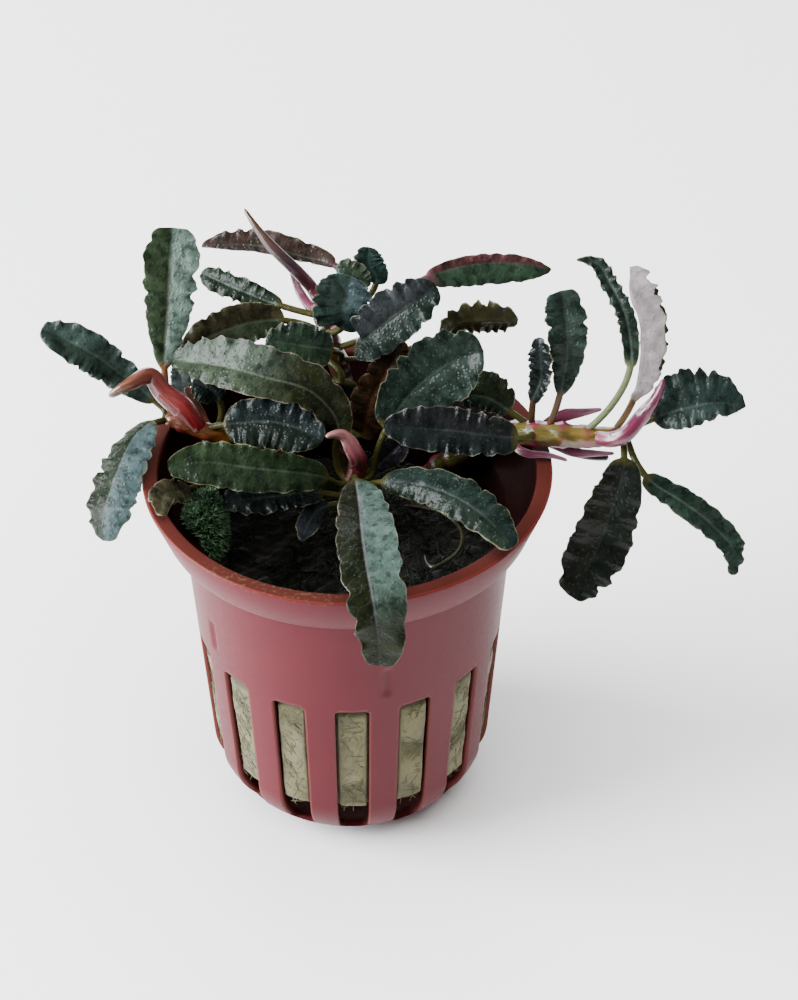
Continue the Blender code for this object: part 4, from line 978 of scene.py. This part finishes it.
def wool_fibres(count, seed):
    """Loose mineral threads lying on the plug's side where the slots show it."""
    rng = np.random.default_rng(seed)
    rows = 6
    slot = rng.integers(0, SLOT_COUNT, count)
    middle = radians(-90 + SLOT_TURN) + slot * 2 * pi / SLOT_COUNT
    angle = middle + radians(SLOT_HALF_ANGLE * 0.75) * rng.uniform(-1, 1, count)
    height = rng.uniform(8.5, 25.5, count)
    lean = rng.normal(0, 0.9, count)
    size = rng.uniform(1.0, 3.0, count)
    t = np.linspace(-0.5, 0.5, rows)
    bow = rng.normal(0, 0.25, count)[:, None] * (1 - 4 * t**2)
    z = height[:, None] + size[:, None] * t * np.cos(lean)[:, None]
    around = (size[:, None] * t * np.sin(lean)[:, None] + bow)
    across = np.clip(angle[:, None] + around / 17, (middle - radians(5.4))[:, None],
                     (middle + radians(5.4))[:, None])
    reach = inner_radius(np.clip(z, 7, 26)) - WOOL_GAP + 0.9 + rng.uniform(0, 0.3, count)[:, None]
    reach = reach - 0.9 * smooth_step(np.abs(across - middle[:, None]), radians(4.2), radians(5.6))
    lines = np.stack([reach * np.cos(across), reach * np.sin(across), z], -1)
    return strands(lines, np.full((count, rows), 0.035))


def root_threads(count, seed):
    """Fine wandering roots on the wet top of the wool."""
    rng = np.random.default_rng(seed)
    rows = 18
    start = rng.uniform(0, 2 * pi, count)
    far = 17.6 * np.sqrt(rng.uniform(0, 1, count))
    heading = rng.uniform(0, 2 * pi, count)[:, None] + np.cumsum(rng.normal(0, 0.35, (count, rows)), 1)
    step = rng.uniform(0.3, 0.7, count)[:, None]
    x = (far * np.cos(start))[:, None] + np.cumsum(step * np.cos(heading), 1)
    y = (far * np.sin(start))[:, None] + np.cumsum(step * np.sin(heading), 1)
    out = np.hypot(x, y)
    shrink = np.minimum(1, 17.8 / out)
    x, y = x * shrink, y * shrink
    place = np.stack([x, y, 0 * x], -1)
    z = (WOOL_TOP + 0.75 + 0.5 * lumps(place, 5, 3) + 0.3 * lumps(place, 2, seed)
         + rng.uniform(0, 0.5, count)[:, None])
    radii = np.linspace(1, 0.5, rows)[None] * rng.uniform(0.05, 0.13, count)[:, None]
    return strands(np.stack([x, y, z], -1), radii)


def moss_fronds(count, seed, middle, radii):
    """Small pointed leaflets standing out of a lumpy ball, four to six faces long each."""
    rng = np.random.default_rng(seed)
    way = rng.normal(size=(count, 3))
    way /= np.linalg.norm(way, axis=1)[:, None]
    root = np.asarray(middle) + way * np.asarray(radii) * rng.uniform(0.72, 1.0, (count, 1))
    lean = way + rng.normal(0, 0.55, (count, 3))
    lean /= np.linalg.norm(lean, axis=1)[:, None]
    t = np.linspace(0, 1, 4)
    size = rng.uniform(0.45, 0.95, count)
    lines = root[:, None] + lean[:, None] * (size[:, None] * t)[..., None]
    lines[..., 2] += 0.12 * t**2
    out = np.hypot(lines[..., 0], lines[..., 1])
    limit = np.where(lines[..., 2] > POT_HEIGHT - COLLAR_HEIGHT + COLLAR_FLARE, 21.2, 19.2)
    lines[..., :2] *= np.minimum(1, limit / out)[..., None]
    return strands(lines, np.tile((0.04, 0.15, 0.12, 0.02), (count, 1)), flat=0.3)


def lumpy_ball(middle, radii, seed):
    """A closed ball whose radius wanders, kept inside the pot's wall."""
    rows, columns = 40, 48
    polar = np.linspace(pi - 0.05, 0.05, rows)[:, None]
    angle = np.linspace(0, 2 * pi, columns, endpoint=False)[None]
    way = np.stack([np.sin(polar) * np.cos(angle), np.sin(polar) * np.sin(angle),
                    np.cos(polar) + 0 * angle], -1)
    ring = np.asarray(middle) + way * np.asarray(radii) * (0.86 + 0.1 * lumps(way * 4, 3, seed))[..., None]
    out = np.hypot(ring[..., 0], ring[..., 1])
    ring[..., :2] *= np.minimum(1, 18.8 / out)[..., None]
    return ring


class PotSettings(bpy.types.PropertyGroup):
    """Finish of the net pot"""

    colour: FloatVectorProperty(name="Colour", description="Colour of the outside",
                                subtype="COLOR", size=3, min=0, max=1, default=linear("#8e2636")[:3])
    # the rim's top colour is a painted shade for the weaker reflection it shows
    rim: FloatVectorProperty(name="Rim", description="Colour of the rim's top",
                             subtype="COLOR", size=3, min=0, max=1, default=linear("#72362e")[:3])


class WoolSettings(bpy.types.PropertyGroup):
    """Rock wool, roots and moss"""

    colour: FloatVectorProperty(name="Colour", description="Pale tone of the rock wool",
                                subtype="COLOR", size=3, min=0, max=1, default=linear("#a8a068")[:3])
    fibres: IntProperty(name="Fibres", description="Loose fibres in the slots", default=1800, min=0)
    roots: IntProperty(name="Roots", description="Fine roots on top of the wool", default=420, min=0)
    moss: IntProperty(name="Moss leaflets", description="Leaflets of the moss tuft", default=5200, min=0)


class LeafSettings(bpy.types.PropertyGroup):
    """Form and finish shared by all leaves"""

    wave: FloatProperty(name="Wave", description="Scale of the margin's waves", default=1.0, min=0)
    scallop: FloatProperty(name="Scallop", description="Share of the width that the margin draws in",
                           default=0.17, min=0, max=0.3, subtype="FACTOR")
    wetness: FloatProperty(name="Wetness", description="Strength of the film of water's gloss",
                           default=0.4, min=0, max=1, subtype="FACTOR")


class StageSettings(bpy.types.PropertyGroup):
    """Floor, light and air round the plant"""

    floor: FloatVectorProperty(name="Floor", description="Colour of the floor", subtype="COLOR",
                               size=3, min=0, max=1, default=(0.96, 0.96, 0.96))
    key: FloatProperty(name="Window light", description="Power of the large soft light at the left, in watts",
                       default=24.0, min=0)
    back: FloatProperty(name="Back light", description="Power of the soft light behind, in watts",
                        default=5.0, min=0)
    fill: FloatProperty(name="Fill light", description="Power of the large light overhead, in watts",
                        default=19.0, min=0)
    air: FloatProperty(name="Ambient light", description="Brightness of the surroundings",
                       default=0.16, min=0)


class PLANT_OT_net_pot(bpy.types.Operator):
    """Make the slotted net pot"""

    bl_idname = "plant.net_pot"
    bl_label = "Net pot"

    def execute(self, context):
        points, faces, values = pot_surface()
        make_piece("net_pot_shell", points, faces, pot_material(context.scene.plant_pot), ("net_pot",),
                   values=values)
        return {"FINISHED"}


class PLANT_OT_rock_wool(bpy.types.Operator):
    """Make the plug of rock wool with its loose fibres and the roots on top"""

    bl_idname = "plant.rock_wool"
    bl_label = "Rock wool"

    def execute(self, context):
        settings = context.scene.plant_wool
        points, faces = closed_skin(wool_surface())
        make_piece("wool_plug", points, faces, wool_material(settings), ("rock_wool",))
        fibre = thread_material("mineral fibre", "#7c784e", "#a8a270", 1.5, 0.85)
        points, faces = wool_fibres(settings.fibres, 11)
        make_piece("wool_fibres", points, faces, fibre)
        # the roots' near black is partly their own dark colour and partly painted shade from the pot's depth
        root = thread_material("fine root", "#0f0d08", "#28341a", 2.0, 0.6)
        points, faces = root_threads(settings.roots, 12)
        make_piece("fine_roots", points, faces, root)
        return {"FINISHED"}


class PLANT_OT_moss(bpy.types.Operator):
    """Make the moss tuft by the left wall"""

    bl_idname = "plant.moss"
    bl_label = "Moss"

    def execute(self, context):
        low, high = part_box("moss_clump")
        low, high = np.array(low) / MM, np.array(high) / MM
        middle, radii = (low + high) / 2, (high - low) / 2
        green = thread_material("moss leaflet", "#446a42", "#94c894", 1.2, 0.5)
        dark = thread_material("moss cushion", "#243824", "#406042", 1.2, 0.8)
        points, faces = closed_skin(lumpy_ball(middle, radii, 21))
        make_piece("moss_cushion", points, faces, dark, ("moss_clump",))
        points, faces = moss_fronds(context.scene.plant_wool.moss, 22, middle, radii)
        make_piece("moss_leaflets", points, faces, green)
        return {"FINISHED"}


class PLANT_OT_stems(bpy.types.Operator):
    """Make the rhizomes, rolled new leaves, bracts, the old stalk and the root"""

    bl_idname = "plant.stems"
    bl_label = "Stems"

    def execute(self, context):
        rhizomes = rhizome_samples()
        for seed, stem in enumerate(STEMS):
            rings, values = stem_surface(stem, seed + 40, rhizomes)
            points, faces = closed_skin(rings)
            values = {key: with_ends(numbers) for key, numbers in values.items()}
            make_piece(f"{stem.name}_skin", points, faces, stem_material(stem), (stem.name,),
                       values=values)
        return {"FINISHED"}


class PLANT_OT_leaves(bpy.types.Operator):
    """Make every leaf"""

    bl_idname = "plant.leaves"
    bl_label = "Leaves"

    def execute(self, context):
        settings = context.scene.plant_leaf
        rhizomes = rhizome_samples()
        for seed, leaf in enumerate(LEAVES):
            rings, values = leaf_surface(leaf, seed + 100, rhizomes, settings)
            points, faces = closed_skin(rings)
            values = {key: with_ends(numbers) for key, numbers in values.items()}
            make_piece(f"{leaf.name}_blade", points, faces, leaf_material(leaf, settings),
                       (leaf.name,), values=values)
        return {"FINISHED"}


class PLANT_OT_stage(bpy.types.Operator):
    """Make the floor, the lights and the camera"""

    bl_idname = "plant.stage"
    bl_label = "Stage"

    def execute(self, context):
        settings = context.scene.plant_stage
        scene = context.scene
        mesh = bpy.data.meshes.new("floor")
        size = 3.0
        mesh.from_pydata([(-size, -size, 0), (size, -size, 0), (size, size, 0), (-size, size, 0)], [],
                         [(0, 1, 2, 3)])
        material, _, shader = new_material("matte white card", Roughness=0.9)
        shader.inputs["Base Color"].default_value = tuple(settings.floor) + (1.0,)
        mesh.materials.append(material)
        floor = bpy.data.objects.new("floor", mesh)
        scene.collection.objects.link(floor)
        world = bpy.data.worlds.new("pale air")
        world.use_nodes = True
        air = world.node_tree.nodes["Background"]
        air.inputs["Color"].default_value = (0.93, 0.96, 1.0, 1.0)
        air.inputs["Strength"].default_value = settings.air
        scene.world = world
        add_light("window", (-0.62, -0.06, 0.28), 0.5, settings.key, (0.95, 0.98, 1.0))
        add_light("back_window", (-0.12, 0.8, 0.25), 0.5, settings.back, (0.95, 0.98, 1.0))
        # the ceiling fills shadows without laying a milky film over the wet leaves
        ceiling = add_light("ceiling", (0.0, -0.05, 0.85), 1.0, settings.fill, (1.0, 0.99, 0.97))
        ceiling.visible_glossy = False
        data = bpy.data.cameras.new("camera")
        data.lens = CAMERA_LENS
        data.sensor_width = CAMERA_SENSOR
        data.sensor_fit = "AUTO"
        data.clip_start = 0.01
        data.clip_end = 20.0
        camera = bpy.data.objects.new("camera", data)
        camera.location = [c * MM for c in CAMERA_AT]
        camera.rotation_euler = (radians(90 - CAMERA_DOWN), 0, 0)
        scene.collection.objects.link(camera)
        scene.camera = camera
        return {"FINISHED"}


def add_light(name, place, size, power, colour):
    """A square soft light in watts that faces the middle of the plant."""
    data = bpy.data.lights.new(name, "AREA")
    data.size = size
    data.energy = power
    data.color = colour
    light = bpy.data.objects.new(name, data)
    light.location = place
    aim = Vector(LIGHT_AIM) - light.location
    light.rotation_euler = aim.to_track_quat("-Z", "Y").to_euler()
    bpy.context.scene.collection.objects.link(light)
    return light


class PLANT_PT_panel(bpy.types.Panel):
    """Settings and steps of the potted plant"""

    bl_idname = "PLANT_PT_panel"
    bl_label = "Potted Bucephalandra"
    bl_space_type = "VIEW_3D"
    bl_region_type = "UI"
    bl_category = "Bucephalandra"

    def draw(self, context):
        for name in SETTINGS:
            group = getattr(context.scene, name)
            for key in group.__annotations__:
                self.layout.prop(group, key)
        for operator in OPERATORS:
            self.layout.operator(operator.bl_idname)


SETTINGS = {"plant_pot": PotSettings, "plant_wool": WoolSettings, "plant_leaf": LeafSettings,
            "plant_stage": StageSettings}
OPERATORS = (PLANT_OT_net_pot, PLANT_OT_rock_wool, PLANT_OT_moss, PLANT_OT_stems, PLANT_OT_leaves,
             PLANT_OT_stage)


def register():
    for kind in (*SETTINGS.values(), *OPERATORS, PLANT_PT_panel):
        bpy.utils.register_class(kind)
    for name, kind in SETTINGS.items():
        setattr(bpy.types.Scene, name, PointerProperty(type=kind))


def unregister():
    for name in SETTINGS:
        delattr(bpy.types.Scene, name)
    for kind in (PLANT_PT_panel, *OPERATORS, *SETTINGS.values()):
        bpy.utils.unregister_class(kind)


def main():
    register()
    bpy.ops.plant.stage()
    bpy.ops.plant.net_pot()
    bpy.ops.plant.rock_wool()
    bpy.ops.plant.moss()
    bpy.ops.plant.stems()
    bpy.ops.plant.leaves()


if __name__ == "__main__":
    main()
